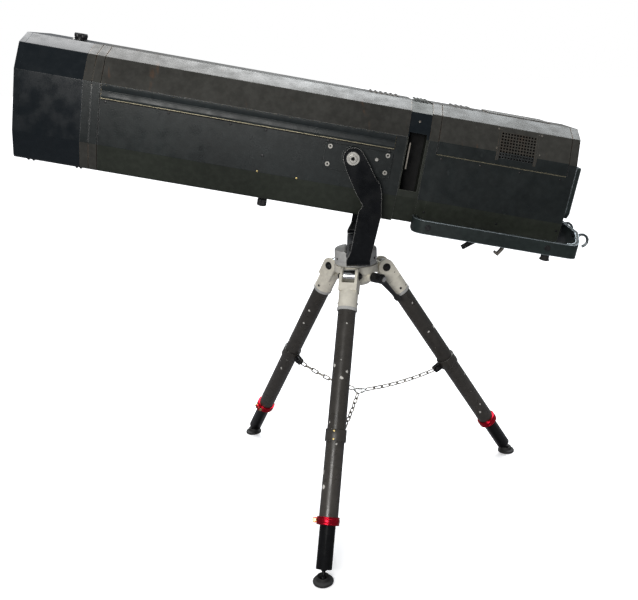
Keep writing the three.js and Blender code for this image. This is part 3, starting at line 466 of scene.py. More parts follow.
class Shape:
    """The growing mesh of one piece, in millimetres of its place."""

    def __init__(self, place):
        self.place = place
        self.mesh = bmesh.new()

    def skin(self, rings, caps=True):
        """Joins rings of points, each to the next, and closes both ends if asked."""
        made = [[self.mesh.verts.new(point) for point in ring] for ring in rings]
        count = len(made[0])
        for one, two in zip(made, made[1:]):
            for i in range(count):
                j = (i + 1) % count
                self.mesh.faces.new((one[i], one[j], two[j], two[i]))
        if caps:
            self.mesh.faces.new(made[0][::-1])
            self.mesh.faces.new(made[-1])
        return self

    def turn(self, profile, start, end, sides=40):
        """Turns (radius, distance) points round an axis. The piece is a ring if they end where they begin."""
        start = Vector(start)
        axis = (Vector(end) - start).normalized()
        u = axis.orthogonal().normalized()
        v = axis.cross(u)
        round_ways = [u * math.cos(a) + v * math.sin(a) for a in circle(sides)]
        rings = []
        for radius, distance in profile:
            middle = start + axis * distance
            rings.append([middle + way * max(radius, SMALLEST_RADIUS) for way in round_ways])
        return self.skin(rings, caps=profile[0] != profile[-1])

    def rod(self, radius, start, end, sides=24, chamfer=0.0):
        """A round bar between two points."""
        length = (Vector(end) - Vector(start)).length
        profile = [(radius, 0), (radius, length)]
        if chamfer:
            profile = [(radius - chamfer, 0), (radius, chamfer), (radius, length - chamfer),
                       (radius - chamfer, length)]
        return self.turn(profile, start, end, sides)

    def prism(self, outline, along, start, end):
        """An outline of (y, z), (x, z) or (x, y) points carried along the remaining axis."""
        put = {
            "x": lambda a, b, d: (d, a, b),
            "y": lambda a, b, d: (a, d, b),
            "z": lambda a, b, d: (a, b, d),
        }[along]
        return self.skin([[put(a, b, d) for a, b in outline] for d in (start, end)])

    def block(self, x0, x1, y0, y1, z0, z1):
        return self.prism([(x0, y0), (x1, y0), (x1, y1), (x0, y1)], "z", z0, z1)

    def wire_loop(self, points, radius, sides):
        """A round bar bent along a list of points and joined end to end."""
        points = [Vector(p) for p in points]
        rings = []
        normal = None
        for i, point in enumerate(points):
            tangent = (points[(i + 1) % len(points)] - points[i - 1]).normalized()
            normal = tangent.orthogonal() if normal is None else normal
            normal = (normal - tangent * normal.dot(tangent)).normalized()
            binormal = tangent.cross(normal)
            ring = [point + (normal * math.cos(a) + binormal * math.sin(a)) * radius for a in circle(sides)]
            rings.append(ring)
        return self.skin([*rings, rings[0]], caps=False)

    def sheet(self, stations, path, thickness, holes=(), closed=False):
        """Sheet metal: a (y, z) path carried through stations in X, its thickness inwards, with box holes."""
        count = len(path)
        layers = []
        for depth in (0, thickness):
            moved = offset_path(path, depth, closed)
            layers.append([[self.mesh.verts.new((x, y, z)) for y, z in moved] for x in stations])
        spans = count if closed else count - 1

        def kept(i, j):
            if not (0 <= i < len(stations) - 1):
                return False
            if closed:
                j %= count
            elif not (0 <= j < spans):
                return False
            a, b = path[j], path[(j + 1) % count]
            middle = ((stations[i] + stations[i + 1]) / 2, (a[0] + b[0]) / 2, (a[1] + b[1]) / 2)
            return not any(all(lo < m < hi for m, (lo, hi) in zip(middle, hole)) for hole in holes)

        for i in range(len(stations) - 1):
            for j in range(spans):
                if not kept(i, j):
                    continue
                k = (j + 1) % count
                for layer in layers:
                    self.mesh.faces.new((layer[i][j], layer[i + 1][j], layer[i + 1][k], layer[i][k]))
                rims = [((i, j), (i, k), kept(i - 1, j)), ((i + 1, j), (i + 1, k), kept(i + 1, j)),
                        ((i, j), (i + 1, j), kept(i, j - 1)), ((i, k), (i + 1, k), kept(i, j + 1))]
                for (a, b), (c, d), joined in rims:
                    if not joined:
                        outer, inner = layers
                        self.mesh.faces.new((outer[a][b], outer[c][d], inner[c][d], inner[a][b]))
        return self

    def copy_of(self, node):
        """Starts from the engineering model's own solid, with its triangles merged into flat faces."""
        self.mesh.from_mesh(frame["nodes"][node].data)
        bmesh.ops.remove_doubles(self.mesh, verts=self.mesh.verts, dist=1e-6)
        bmesh.ops.transform(self.mesh, matrix=self.place.inverted(), verts=self.mesh.verts)
        limit = math.radians(1)
        bmesh.ops.dissolve_limit(self.mesh, angle_limit=limit, verts=self.mesh.verts, edges=self.mesh.edges)
        return self

    def piece(self, name, body, look, slot, replaces=(), chamfer=0.0, chamfer_over=40):
        """Chamfers the sharp edges, and makes the mesh an object that rides on a body if one is given."""
        mesh = self.mesh
        bmesh.ops.delete(mesh, geom=[v for v in mesh.verts if not v.link_faces], context="VERTS")
        bmesh.ops.recalc_face_normals(mesh, faces=mesh.faces)
        if chamfer:
            sharp = [e for e in mesh.edges if len(e.link_faces) == 2
                     and e.calc_face_angle(0) > math.radians(chamfer_over)]
            bmesh.ops.bevel(mesh, geom=sharp, offset=chamfer, segments=1, affect="EDGES", clamp_overlap=True)
        bmesh.ops.transform(mesh, matrix=self.place, verts=mesh.verts)
        if self.place.determinant() < 0:
            bmesh.ops.reverse_faces(mesh, faces=mesh.faces)
        for face in mesh.faces:
            face.smooth = True
        for edge in mesh.edges:
            edge.smooth = len(edge.link_faces) == 2 and edge.calc_face_angle(0) < CREASE
        data = bpy.data.meshes.new(name)
        mesh.to_mesh(data)
        mesh.free()
        data.materials.append(looks[look])
        made = bpy.data.objects.new(name, data)
        bpy.context.scene.collection.objects.link(made)
        if body:
            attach(made, body)
        if replaces:
            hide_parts(*replaces)
        print(name, len(data.vertices))
        return made


def offset_path(path, depth, closed):
    """The (y, z) path moved inwards, to the right of its own direction, keeping corners true."""
    if not depth:
        return path
    count = len(path)
    moved = []
    for i, (y, z) in enumerate(path):
        ways = []
        for a, b in ((i - 1, i), (i, i + 1)):
            if closed or (0 <= a and b < count):
                (y0, z0), (y1, z1) = path[a % count], path[b % count]
                length = math.hypot(y1 - y0, z1 - z0)
                ways.append(((z1 - z0) / length, -(y1 - y0) / length))
        ny = sum(w[0] for w in ways)
        nz = sum(w[1] for w in ways)
        size = math.hypot(ny, nz)
        spread = depth / ((ny * ways[0][0] + nz * ways[0][1]) / size)
        moved.append((y + ny / size * spread, z + nz / size * spread))
    return moved


def rounded(points, radius, steps=3):
    """The closed outline with each corner replaced by a curve of about that radius."""
    result = []
    for i, point in enumerate(points):
        here = Vector(point)
        back = Vector(points[i - 1]) - here
        forth = Vector(points[(i + 1) % len(points)]) - here
        turn = math.pi - back.angle(forth)
        reach = min(radius * math.tan(turn / 2), back.length * 0.45, forth.length * 0.45)
        start = here + back.normalized() * reach
        end = here + forth.normalized() * reach
        for k in range(steps + 1):
            t = k / steps
            result.append(tuple(start * (1 - t) ** 2 + here * 2 * t * (1 - t) + end * t * t))
    return result


def arc(centre, radius, start, end, steps):
    """Points of an arc in a plane, its angles in degrees."""
    angles = [math.radians(start + (end - start) * i / steps) for i in range(steps + 1)]
    return [(centre[0] + radius * math.cos(a), centre[1] + radius * math.sin(a)) for a in angles]


def with_breaks(path, axis, values, closed=False):
    """Adds a point wherever the path crosses one of the values, so that a hole can start there."""
    result = []
    count = len(path)
    for i, a in enumerate(path):
        result.append(a)
        if not closed and i == count - 1:
            break
        b = path[(i + 1) % count]
        crossings = []
        for value in values:
            low, high = sorted((a[axis], b[axis]))
            if low + 0.01 < value < high - 0.01:
                t = (value - a[axis]) / (b[axis] - a[axis])
                crossings.append((t, (a[0] + t * (b[0] - a[0]), a[1] + t * (b[1] - a[1]))))
        result.extend(point for _, point in sorted(crossings))
    return result


def breaks(*spans):
    """Sorted stations for a sheet, from pairs of limits."""
    return sorted({round(value, 3) for span in spans for value in span})


def mirrored(outline, sign):
    """An outline of (y, z) points on the far side, or on the near side if the sign is -1."""
    return [(sign * y, z) for y, z in outline]


def tube_profile(inner, outer, low, high):
    """The looped profile of a plain tube, as (radius, distance) points."""
    return [(inner, low), (outer, low), (outer, high), (inner, high), (inner, low)]


print("shape maker ready")

# %% [markdown]
# Screws and rivets are small, but there are dozens, and the eye finds them at once. Each kind is made once
# as a function that adds one head to a piece that is being made. The socket is a real hollow in the
# outline, where a dark patch in the paint would look flat.


# %% Fasteners
def screw_head(shape, at, out, radius=4.0, height=2.2):
    """A domed head standing on the point `at`, looking along `out`, with a sunk socket."""
    at = Vector(at)
    out = Vector(out).normalized()
    socket = radius * 0.46
    dome = [(radius, 0), (radius, height * 0.35), (radius * 0.86, height * 0.8), (socket, height)]
    shape.turn([*dome, (socket, height * 0.3)], at, at + out, 12)


def screws_round(shape, x, radius, degrees, way, size, height):
    """Heads in a circle round the lantern's axis, looking along the axis if the way is 1."""
    for angle in degrees:
        a = math.radians(angle)
        screw_head(shape, (x, radius * math.cos(a), radius * math.sin(a)), (way, 0, 0), size, height)


def hex_bolt(shape, at, out, radius=7.0, height=5.0, washer=9.5):
    """A hexagon head on a washer."""
    at = Vector(at)
    out = Vector(out).normalized()
    shape.turn([(washer, 0), (washer, 1.1), (washer - 0.6, 1.5)], at, at + out, 28)
    shape.turn([(radius, 1.4), (radius, height), (radius * 0.86, height + 0.9)], at, at + out, 6)


print("fasteners ready")

# %% [markdown]
# The lantern is folded from sheet: twelve flats between soft folds. A path of the section is drawn once,
# and every cover is a run of that path carried along the lantern. The folds are small arcs, because a brake
# press leaves a radius and a sharp fold would look like card.

# %% The lantern's cross-section
SHEET = 2
FOLD_RADIUS = 5
HALF_SECTION = [(166, -178), (173.1, -171), (190, -94), (190, 87.8), (157.1, 164.6), (96.5, 193.3)]
NOSE_FRONT, NOSE_REAR = -1038, -833.4
BAND_SEAM = -806.6
BODY_FRONT, BODY_REAR = -780.2, 153.1
HOUSE_FRONT, HOUSE_BAND = 220.1, 249.4
HOUSE_REAR_BAND, HOUSE_REAR = 658.6, 683.9
BODY_SEAM, HOUSE_SEAM = 88, 52
SEAM_GAP = 1.3


def section(inset=0.0):
    """The whole outline, from the near floor edge up over the roof and down the far side."""
    near = mirrored(HALF_SECTION, -1)
    return rounded(offset_path(near + HALF_SECTION[::-1], inset, True), FOLD_RADIUS)


def upper_run(z):
    """The part of the section above a height, as an open path."""
    loop = with_breaks(section(), 1, [z], closed=True)
    return [point for point in loop if point[1] >= z - 0.01]


def lower_run(z):
    """The part of the section below a height, as an open path."""
    loop = with_breaks(section(), 1, [z], closed=True)
    half = len(loop) // 2
    loop = loop[half:] + loop[:half]
    return [point for point in loop if point[1] <= z + 0.01]


def side_point(z, out=0.0, sign=-1):
    """A point on the lantern's side at a height, moved outwards, and the direction outwards, as (y, z)."""
    for (y0, z0), (y1, z1) in zip(HALF_SECTION, HALF_SECTION[1:]):
        if z0 <= z <= z1:
            length = math.hypot(y1 - y0, z1 - z0)
            ny, nz = (z1 - z0) / length, -(y1 - y0) / length
            y = y0 + (z - z0) * (y1 - y0) / (z1 - z0)
            return (sign * (y + ny * out), z + nz * out), (sign * ny, nz)
    raise ValueError(z)


def side_screws(shape, spots, out=0.0, radius=3.6, height=2.0):
    """A head at each (x, z) spot, square to the skin, on both sides of the lantern."""
    for x, z in spots:
        for sign in (-1, 1):
            (y, moved_z), (ny, nz) = side_point(z, out, sign)
            screw_head(shape, (x, y, moved_z), (0, ny, nz), radius, height)


def other_look(piece, look, inside):
    """Gives the faces whose middle passes a test, in lantern millimetres, another finish."""
    index = len(piece.data.materials)
    piece.data.materials.append(looks[look])
    back = LANTERN.inverted()
    for face in piece.data.polygons:
        if inside(back @ face.center):
            face.material_index = index


def is_side(spot):
    """Whether a face belongs to the lantern's widest flats."""
    return abs(spot.y) > 187.5


def is_under(spot):
    """Whether a face belongs to the tray's lower flats."""
    return spot.z < -95


print("section points", len(section()))

# %% [markdown]
# Louvres let the heat out of the roof. Pressed louvres have a curved hood over each slot, so each slot gets
# a thin quarter-round strip. Cutting only slots would be quicker, but from the side it is the row of hoods
# that breaks the roof line.


# %% Louvre hoods
ROOF = HALF_SECTION[-1][1]
HOOD_HEIGHT = 4.2
HOOD_SHEET = 0.9


def hoods(shape, starts, along, low, high, width=8):
    """A curved strip over each slot, from where the slot starts, carried from low to high."""
    for start in starts:
        rise = [(1 - math.cos(a), math.sin(a)) for a in (0.05, 0.5, 0.95, 1.45)]
        outer = [(start + width * across, ROOF + HOOD_HEIGHT * up) for across, up in rise]
        inner = [(across + HOOD_SHEET, z - HOOD_SHEET) for across, z in reversed(outer)]
        shape.prism(outer + inner, along, low, high)


BODY_SLOTS = [20 + 17 * i for i in range(6)]
GATE_SLOTS = [168 + 12 * i for i in range(4)]
HOUSE_SLOTS = [290 + 18 * i for i in range(4)]
LONG_SLOTS = [-66 + 22 * i for i in range(7)]
print("louvres", len(BODY_SLOTS) + len(GATE_SLOTS) + len(HOUSE_SLOTS) + len(LONG_SLOTS))

# %% [markdown]
# The main body is a tray under a cover. Both are real sheets with a thickness, so the slots for the lens
# knobs and the louvres are holes, not dark paint. Straps of black sheet lie behind the seams, as they do on
# a real lantern, and make each seam a fine dark line.

# %% Main cover and tray
FRONT_LENS_X, FRONT_LENS_SPAN = -600, (120, 160)
REAR_LENS_X, REAR_LENS_SPAN = -262, (140, 200)
KNOB_Y = 140
ROOF_HALF = 86
THROUGH_ROOF = (ROOF - 8, ROOF + 8)


def roof_slots(starts, half_width, width=7):
    """The boxes that cut slots across the roof."""
    return [((x, x + width), (-half_width, half_width), THROUGH_ROOF) for x in starts]


def lens_slot(x, span, y):
    """The box that cuts a slot in the floor for the stem of a lens knob."""
    return ((x - span[0] - 6, x + span[1] + 6), (y - 6, y + 6), (-190, -170))


slots = roof_slots(BODY_SLOTS, ROOF_HALF)
path = with_breaks(upper_run(BODY_SEAM + 0.3), 0, [-ROOF_HALF, ROOF_HALF])
cover = Shape(LANTERN)
cover.sheet(breaks((BODY_FRONT + SEAM_GAP, BODY_REAR), *[s[0] for s in slots]), path, SHEET, slots)
hoods(cover, BODY_SLOTS, "y", -ROOF_HALF, ROOF_HALF)
main_cover = cover.piece("main_cover_sheet", "lantern", "shell", "shell_grey", ["main_cover"])
# The cover's side flats take the darker side paint as painted shade.
other_look(main_cover, "side", is_side)

slots = [lens_slot(FRONT_LENS_X, FRONT_LENS_SPAN, KNOB_Y), lens_slot(REAR_LENS_X, REAR_LENS_SPAN, -KNOB_Y)]
path = with_breaks(lower_run(BODY_SEAM), 0, [y + d for y in (-KNOB_Y, KNOB_Y) for d in (-6, 6)])
tray = Shape(LANTERN)
tray.sheet(breaks((BODY_FRONT + SEAM_GAP, BODY_REAR), *[s[0] for s in slots]), path, SHEET, slots)
for x in (BODY_FRONT + 8, BODY_REAR - 18):
    for y in (-120, 120):
        tray.block(x, x + 10, y - 12, y + 12, -176, -128)
# The tray takes the darker side paint and its lower flats the olive one, both as painted shade.
main_tray = tray.piece("main_tray_sheet", "lantern", "side", "side_grey", ["main_tray"])
other_look(main_tray, "olive", is_under)

straps = Shape(LANTERN)
for x0, x1 in ((-1032, -1010), (-845, -822), (-818, -795), (-792, -770)):
    straps.sheet([x0, x1], section(2.2), 1, closed=True)
straps.sheet([140, 152], section(2.3), 1, closed=True)
straps.piece("seam_straps", "lantern", "inside", "nose_black")

# %% [markdown]
# A rail covers the seam on each side. It is an aluminium extrusion, so one outline with its groove and drip
# ledge is drawn and carried along. A thin strip along the ledge's edge shows yellowed metal in a continuous
# light line: wear together with a painted highlight.

# %% Side rails
SIDE_FACE = 190.3
RAIL_BOTTOM = 45
RAIL_FACE = 195.3
RAIL_SPAN = (BODY_FRONT + 4, 120)
RAIL_OUTLINE = [
    (SIDE_FACE, RAIL_BOTTOM), (RAIL_FACE + 3.6, RAIL_BOTTOM), (RAIL_FACE + 4, RAIL_BOTTOM + 1.6),
    (RAIL_FACE + 1.2, RAIL_BOTTOM + 5), (RAIL_FACE, RAIL_BOTTOM + 9), (RAIL_FACE, 67),
    (RAIL_FACE - 1.4, 67.8), (RAIL_FACE - 1.4, 70.2), (RAIL_FACE, 71), (RAIL_FACE, 86),
    (RAIL_FACE - 1, 87.4), (SIDE_FACE, 88),
]
# Painted shadow: a thin black strip under the rail's drip ledge stands for the line of shade beneath it.
SHADOW_UNDER_RAIL = [(190.1, 40.6), (191, 41), (191, 45.4), (190.1, 45.4)]
HIGHLIGHT_LIP = [(RAIL_FACE + 3.4, 44.8), (RAIL_FACE + 4.5, 45.2), (RAIL_FACE + 4.5, 47), (RAIL_FACE + 3.4, 47.6)]
for side_name, sign in (("near", -1), ("far", 1)):
    rail = Shape(LANTERN).prism(mirrored(RAIL_OUTLINE, sign), "x", *RAIL_SPAN)
    rail.piece("body_rail_" + side_name, "lantern", "rail", "side_grey", ["side_rail_" + side_name], 0.3)
    shadow_strip = Shape(LANTERN).prism(mirrored(SHADOW_UNDER_RAIL, sign), "x", *RAIL_SPAN)
    shadow_strip.piece("painted_shadow_under_rail_" + side_name, "lantern", "inside", "nose_black")
    edge = Shape(LANTERN).prism(mirrored(HIGHLIGHT_LIP, sign), "x", RAIL_SPAN[0] + 1, RAIL_SPAN[1] - 1)
    edge.piece("rail_highlight_edge_" + side_name, "lantern", "ledge", "side_grey")

under_rail = Shape(LANTERN)
side_screws(under_rail, [(x, 36) for x in (-763, -571, -383, -275, -83, 107)], radius=4.2)
side_screws(under_rail, [(-275, -42)], radius=4.6)
under_rail.piece("rail_screws", "lantern", "blackened", "black_fitting")
body_rivets = Shape(LANTERN)
side_screws(body_rivets, [(-285, -92), (-162, -93)], radius=3.4, height=1.4)
body_rivets.piece("body_rivets", "lantern", "zinc", "bright_steel")

# %% [markdown]
# The nose is a plain black sleeve with a rim round its front. Inside it a plate with a round port holds the
# light to the beam. The plate is made as a ring between the port and the section, found by casting a ray
# from the axis at each angle, because a boolean would leave long thin faces.


# %% Nose and front band
def section_radius(angle, inset):
    """How far the section is from the axis, in a direction."""
    loop = section(inset)
    way = (math.cos(angle), math.sin(angle))
    best = None
    for (y0, z0), (y1, z1) in zip(loop, loop[1:] + loop[:1]):
        dy, dz = y1 - y0, z1 - z0
        cross = way[0] * dz - way[1] * dy
        if abs(cross) < 1e-9:
            continue
        t = (y0 * dz - z0 * dy) / cross
        s = (y0 * way[1] - z0 * way[0]) / cross
        if t > 0 and -1e-6 <= s <= 1 + 1e-6:
            best = t if best is None else min(best, t)
    return best


def ported_plate(shape, x0, x1, port, inset, steps=72):
    """A plate across the lantern with a round port on the optical axis."""
    angles = [2 * math.pi * (i + 0.5) / steps for i in range(steps)]
    far = [section_radius(a, inset) for a in angles]
    near = [port] * steps
    rings = []
    for x, radii in ((x0, far), (x0, near), (x1, near), (x1, far), (x0, far)):
        rings.append([(x, r * math.cos(a), r * math.sin(a)) for r, a in zip(radii, angles)])
    shape.skin(rings, caps=False)


nose = Shape(LANTERN)
nose.sheet([NOSE_FRONT, NOSE_FRONT + 17], section(), SHEET, closed=True)
FRAME_SLOT_HALF = 92
frame_slots = roof_slots([-901], FRAME_SLOT_HALF, 12)
nose_path = with_breaks(section(), 0, [-FRAME_SLOT_HALF, FRAME_SLOT_HALF], closed=True)
nose.sheet([NOSE_FRONT + 17.8, -901, -889, NOSE_REAR - 0.4], nose_path, SHEET, frame_slots, closed=True)
nose.piece("nose_sleeve", "lantern", "nose", "nose_black", ["nose_housing"])

plate = Shape(LANTERN)
ported_plate(plate, NOSE_FRONT + 4, NOSE_FRONT + 8, 116, 2.4)
lip = [(116, 0), (122, -1), (124, 1), (122, 3), (117, 4.4), (113.6, 4.4), (113.6, 2), (116, 0)]
plate.turn(lip, (NOSE_FRONT + 3, 0, 0), (NOSE_FRONT + 8, 0, 0), 72)
screws_round(plate, NOSE_FRONT + 4, 140, (40, 140, 220, 320), -1, 4, 2.2)
plate.piece("front_port_plate", "lantern", "nose", "nose_black", ["front_plate"])

band = Shape(LANTERN)
band.sheet([NOSE_REAR + 0.4, BAND_SEAM - SEAM_GAP], section(), SHEET, closed=True)
band.sheet([BAND_SEAM + SEAM_GAP, BODY_FRONT - SEAM_GAP], section(), SHEET, closed=True)
ported_plate(band, BAND_SEAM - 2, BAND_SEAM + 2, 124, 1.6)
front_band = band.piece("front_band_sheet", "lantern", "shell", "shell_grey", ["front_band"])
# The band's side flats take the darker side paint as painted shade.
other_look(front_band, "side", is_side)

nose_screws = Shape(LANTERN)
for x in (-996, -980, -846, -833):
    for y in (-160, 160):
        screw_head(nose_screws, (x, y, -178), (0, 0, -1), 4, 4)
nose_screws.piece("nose_screws", "lantern", "blackened", "black_fitting")

# %% [markdown]
# A colour frame drops into a slot in the nose and lifts out by its knob. Its knob is turned with a knurled
# rim: the outline is a circle whose radius ripples, so the grip is in the shape and shows in the outline.


# %% Colour frame and knobs
def knurled(shape, start, end, radius, length, ribs, depth, dome):
    """A knob with ribs round its rim, flat on the base and slightly domed on top."""
    start = Vector(start)
    axis = (Vector(end) - start).normalized()
    u = axis.orthogonal().normalized()
    v = axis.cross(u)
    rings = []
    levels = [(0, -2.5, 0), (1.5, 0, 1), (length - 2.5, 0, 1), (length - 0.8, -1.8, 0.3), (length, -4.5, 0)]
    levels.append((length + dome, -radius * 0.75, 0))
    for height, grow, ribbed in levels:
        ring = []
        for a in circle(ribs * 4):
            r = radius + grow - ribbed * depth * (0.5 - 0.5 * math.cos(ribs * a))
            ring.append(start + axis * height + (u * math.cos(a) + v * math.sin(a)) * r)
        rings.append(ring)
    shape.skin(rings)


FRAME_X, FRAME_KNOB_Y = -895, -40
colour = Shape(LANTERN).copy_of("colour_frame")
colour.piece("colour_frame_plate", "colour_frame", "fitting", "black_fitting", ["colour_frame"], 0.4)
cap = Shape(LANTERN)
knurled(cap, (FRAME_X, FRAME_KNOB_Y, 202), (FRAME_X, FRAME_KNOB_Y, 220), 20, 11.5, 28, 1, 0.6)
cap.piece("colour_frame_knob", "colour_frame", "plastic", "black_fitting")
collar = Shape(LANTERN)
collar_bottom = (FRAME_X, FRAME_KNOB_Y, 194)
collar.turn([(14, 0), (17.5, 1), (17.5, 7), (14, 8)], collar_bottom, (FRAME_X, FRAME_KNOB_Y, 210), 36)
collar.block(FRAME_X - 24, FRAME_X - 12, FRAME_KNOB_Y - 4, FRAME_KNOB_Y + 4, 195.2, 196.8)
collar.piece("colour_frame_collar", "colour_frame", "steel", "black_fitting")

# %% [markdown]
# Two lens carriages slide on a pair of bright rods and are set from below by knobs. Each lens is ground
# thick in the middle, so its profile is two shallow arcs. A glass shader needs a closed shape with real
# thickness.


# %% Lenses, carriages and rods
ROD_Y, ROD_Z = 120, -140
LENS_EDGE = 4
CARRIAGE_BAR = [(-150, -156), (150, -156), (150, -128), (110, -124), (86, -96), (-86, -96), (-110, -124),
                (-150, -128)]


def domed_lens(x, radius, bulge, sides):
    """A lens on the optical axis with two domed faces, started as a shape."""
    steps = [math.radians(6 + 84 * i / 9) for i in range(10)]
    face = [(radius * math.sin(a), LENS_EDGE + bulge * math.cos(a)) for a in steps]
    profile = [(r, -d) for r, d in face] + face[::-1]
    return Shape(LANTERN).turn(profile, (x, 0, 0), (x + 1, 0, 0), sides)


def lens_unit(name, body, x, radius, bulge, knob_side):
    """A lens with its ring, carriage, stem and knob, all riding on one body."""
    ring = Shape(LANTERN)
    inner = radius + 0.3
    rim = [(inner, -5), (inner + 9, -5), (inner + 12, -3), (inner + 12, 3), (inner + 9, 5), (inner, 5),
           (inner, -5)]
    ring.turn(rim, (x, 0, 0), (x + 1, 0, 0), 72)
    ring.prism(CARRIAGE_BAR, "x", x - 5, x + 5)
    y = knob_side * KNOB_Y
    ring.rod(5, (x, y, -184), (x, y, -150))
    for rod_y in (-ROD_Y, ROD_Y):
        ring.turn(tube_profile(6.4, 13, -9, 9), (x, rod_y, ROD_Z), (x + 1, rod_y, ROD_Z), 32)
    screws_round(ring, x - 5, inner + 6, (30, 150, 270), -1, 3.4, 1.8)
    ring.piece(name + "_ring", body, "fitting", "black_fitting", [name + "_carriage"], 0.4)
    domed_lens(x, radius, bulge, 72).piece(name + "_glass", body, "glass", "glass", [name])
    knob = Shape(LANTERN)
    knurled(knob, (x, y, -183), (x, y, -207), 15, 23, 18, 1.1, 0.8)
    knob.piece(name + "_grip", body, "plastic", "knob_black", [name + "_knob"])


lens_unit("front_lens", "front_lens_unit", FRONT_LENS_X, 108, 22, 1)
lens_unit("rear_lens", "rear_lens_unit", REAR_LENS_X, 84, 16, -1)
rods = Shape(LANTERN)
for y in (-ROD_Y, ROD_Y):
    rods.rod(6, (BODY_FRONT + 6, y, ROD_Z), (BODY_REAR - 6, y, ROD_Z), 32, 0.8)
rods.piece("lens_rods", "lantern", "steel", "bright_steel", ["lens_rod_near", "lens_rod_far"])

# %% [markdown]
# Between the body and the lamp house the lantern narrows to the gate, with an open window on each side. The
# iris lever stands in the near window. The blackout blade hangs inside and its lever leaves by the far one.
# Thin black plates stand behind the windows as painted shade: the inside of the gate shows black, and no
# daylight shows straight through it.

# %% Gate, iris and blackout blade
GATE_INSET = 4
GATE_ROOF_HALF = 80
WINDOW_X, WINDOW_Z = (157, 212.5), (-73, 103)
slots = roof_slots(GATE_SLOTS, GATE_ROOF_HALF, 5)
windows = [(WINDOW_X, span, WINDOW_Z) for span in ((-250, -150), (150, 250))]
path = with_breaks(section(GATE_INSET), 0, [-GATE_ROOF_HALF, GATE_ROOF_HALF], closed=True)
path = with_breaks(path, 1, WINDOW_Z, closed=True)
gate = Shape(LANTERN)
stations = breaks((BODY_REAR + 0.3, HOUSE_FRONT - 0.3), WINDOW_X, *[s[0] for s in slots])
gate.sheet(stations, path, SHEET, slots + windows, closed=True)
ported_plate(gate, 214, 218, 46, GATE_INSET + 1.6)
hoods(gate, [x - 1 for x in GATE_SLOTS], "y", -GATE_ROOF_HALF, GATE_ROOF_HALF, 6)
gate_sleeve = gate.piece("gate_sleeve", "lantern", "olive", "nose_black", ["gate_frame"])
other_look(gate_sleeve, "nose", lambda spot: 95 < spot.z < 162)
# Black plates behind the windows: painted shade for the gate's dark inside.
window_shade_plates = Shape(LANTERN)
for x0, x1, y in ((153.6, 194.5, 176), (200.5, 213, 176), (167.5, 213, -110)):
    window_shade_plates.block(x0, x1, y, y + 2, WINDOW_Z[0] - 16, WINDOW_Z[1] + 4)
window_shade_plates.piece("gate_window_shade_plates", "lantern", "inside", "nose_black")
gate_screws = Shape(LANTERN)
side_screws(gate_screws, [(184, 138)], out=-GATE_INSET, radius=3.8)
gate_screws.piece("gate_screws", "lantern", "dull_steel", "bright_steel")

iris = Shape(LANTERN)
iris.turn([(52, 0), (82, 0), (84, 1.5), (82, 3), (52, 3), (52, 0)], (163, 0, 0), (166, 0, 0), 72)
iris.prism([(-70, 8), (-70, 24), (-194, 36), (-195, 26)], "x", 163, 166)
iris.prism([(162, -8), (166.5, -8), (166.5, 71), (165, 72), (163, 72), (162, 71)], "y", -197, -193.5)
iris.piece("iris_lever_plate", "iris", "dull_steel", "bright_steel", ["iris_lever"], chamfer=0.5)
dowser = Shape(LANTERN).copy_of("dowser_blade")
dowser.piece("dowser_blade_plate", "dowser", "fitting", "black_fitting", ["dowser_blade"], chamfer=0.4)

# %% [markdown]
# The lamp house is a cover over a chassis. Its cover is pierced on each shoulder by a field of punched
# holes, so its path gets extra points there and each hole of the grid is left out of the sheet. A
# perforated picture on a flat sheet would not show the thickness of the bars. Dark baffles stand a little
# way behind the holes.

# %% Lamp-house cover
PUNCH_X, PUNCH_Z = (438, 548), (72, 150)
PUNCH_COLUMNS, PUNCH_ROWS = 12, 9
PUNCH_BAR = 2.8


def punched_spans(limits, count):
    """The spans of a row of punched holes between two limits, with a bar between each two."""
    pitch = (limits[1] - limits[0]) / count
    starts = [limits[0] + pitch * i for i in range(count)]
    return [(start + PUNCH_BAR / 2, start + pitch - PUNCH_BAR / 2) for start in starts]


HOUSE_ROOF_HALF = 84
LONG_SPAN = (400, 600)
punch_rows = punched_spans(PUNCH_Z, PUNCH_ROWS)
path = with_breaks(upper_run(HOUSE_SEAM + 0.6), 0, [-HOUSE_ROOF_HALF, HOUSE_ROOF_HALF])
path = with_breaks(path, 0, [y + d for y in LONG_SLOTS for d in (-4, 4)])
path = with_breaks(path, 1, [z for row in punch_rows for z in row])
holes = roof_slots(HOUSE_SLOTS, HOUSE_ROOF_HALF)
holes += [(LONG_SPAN, (y - 4, y + 4), THROUGH_ROOF) for y in LONG_SLOTS]
for column in punched_spans(PUNCH_X, PUNCH_COLUMNS):
    for shoulder in ((-200, -150), (150, 200)):
        holes += [(column, shoulder, row) for row in punch_rows]
stations = breaks((HOUSE_BAND + SEAM_GAP, HOUSE_REAR_BAND - SEAM_GAP), LONG_SPAN, *[h[0] for h in holes])
house = Shape(LANTERN)
house.sheet(stations, path, SHEET, holes)
hoods(house, HOUSE_SLOTS, "y", -HOUSE_ROOF_HALF, HOUSE_ROOF_HALF)
hoods(house, [y - 4 for y in LONG_SLOTS], "x", *LONG_SPAN)
lamp_cover = house.piece("lamp_house_cover_sheet", "lantern", "shell", "shell_grey", ["lamp_house_cover"])
# The cover's side flats take the darker side paint as painted shade.
other_look(lamp_cover, "side", is_side)


def skin_strip(shape, heights, low, high, x0, x1):
    """A strip on each side that follows the skin, between two distances outwards from it."""
    for sign in (-1, 1):
        inner_line = [side_point(z, low, sign)[0] for z in heights]
        outer_line = [side_point(z, high, sign)[0] for z in reversed(heights)]
        shape.prism(inner_line + outer_line, "x", x0, x1)


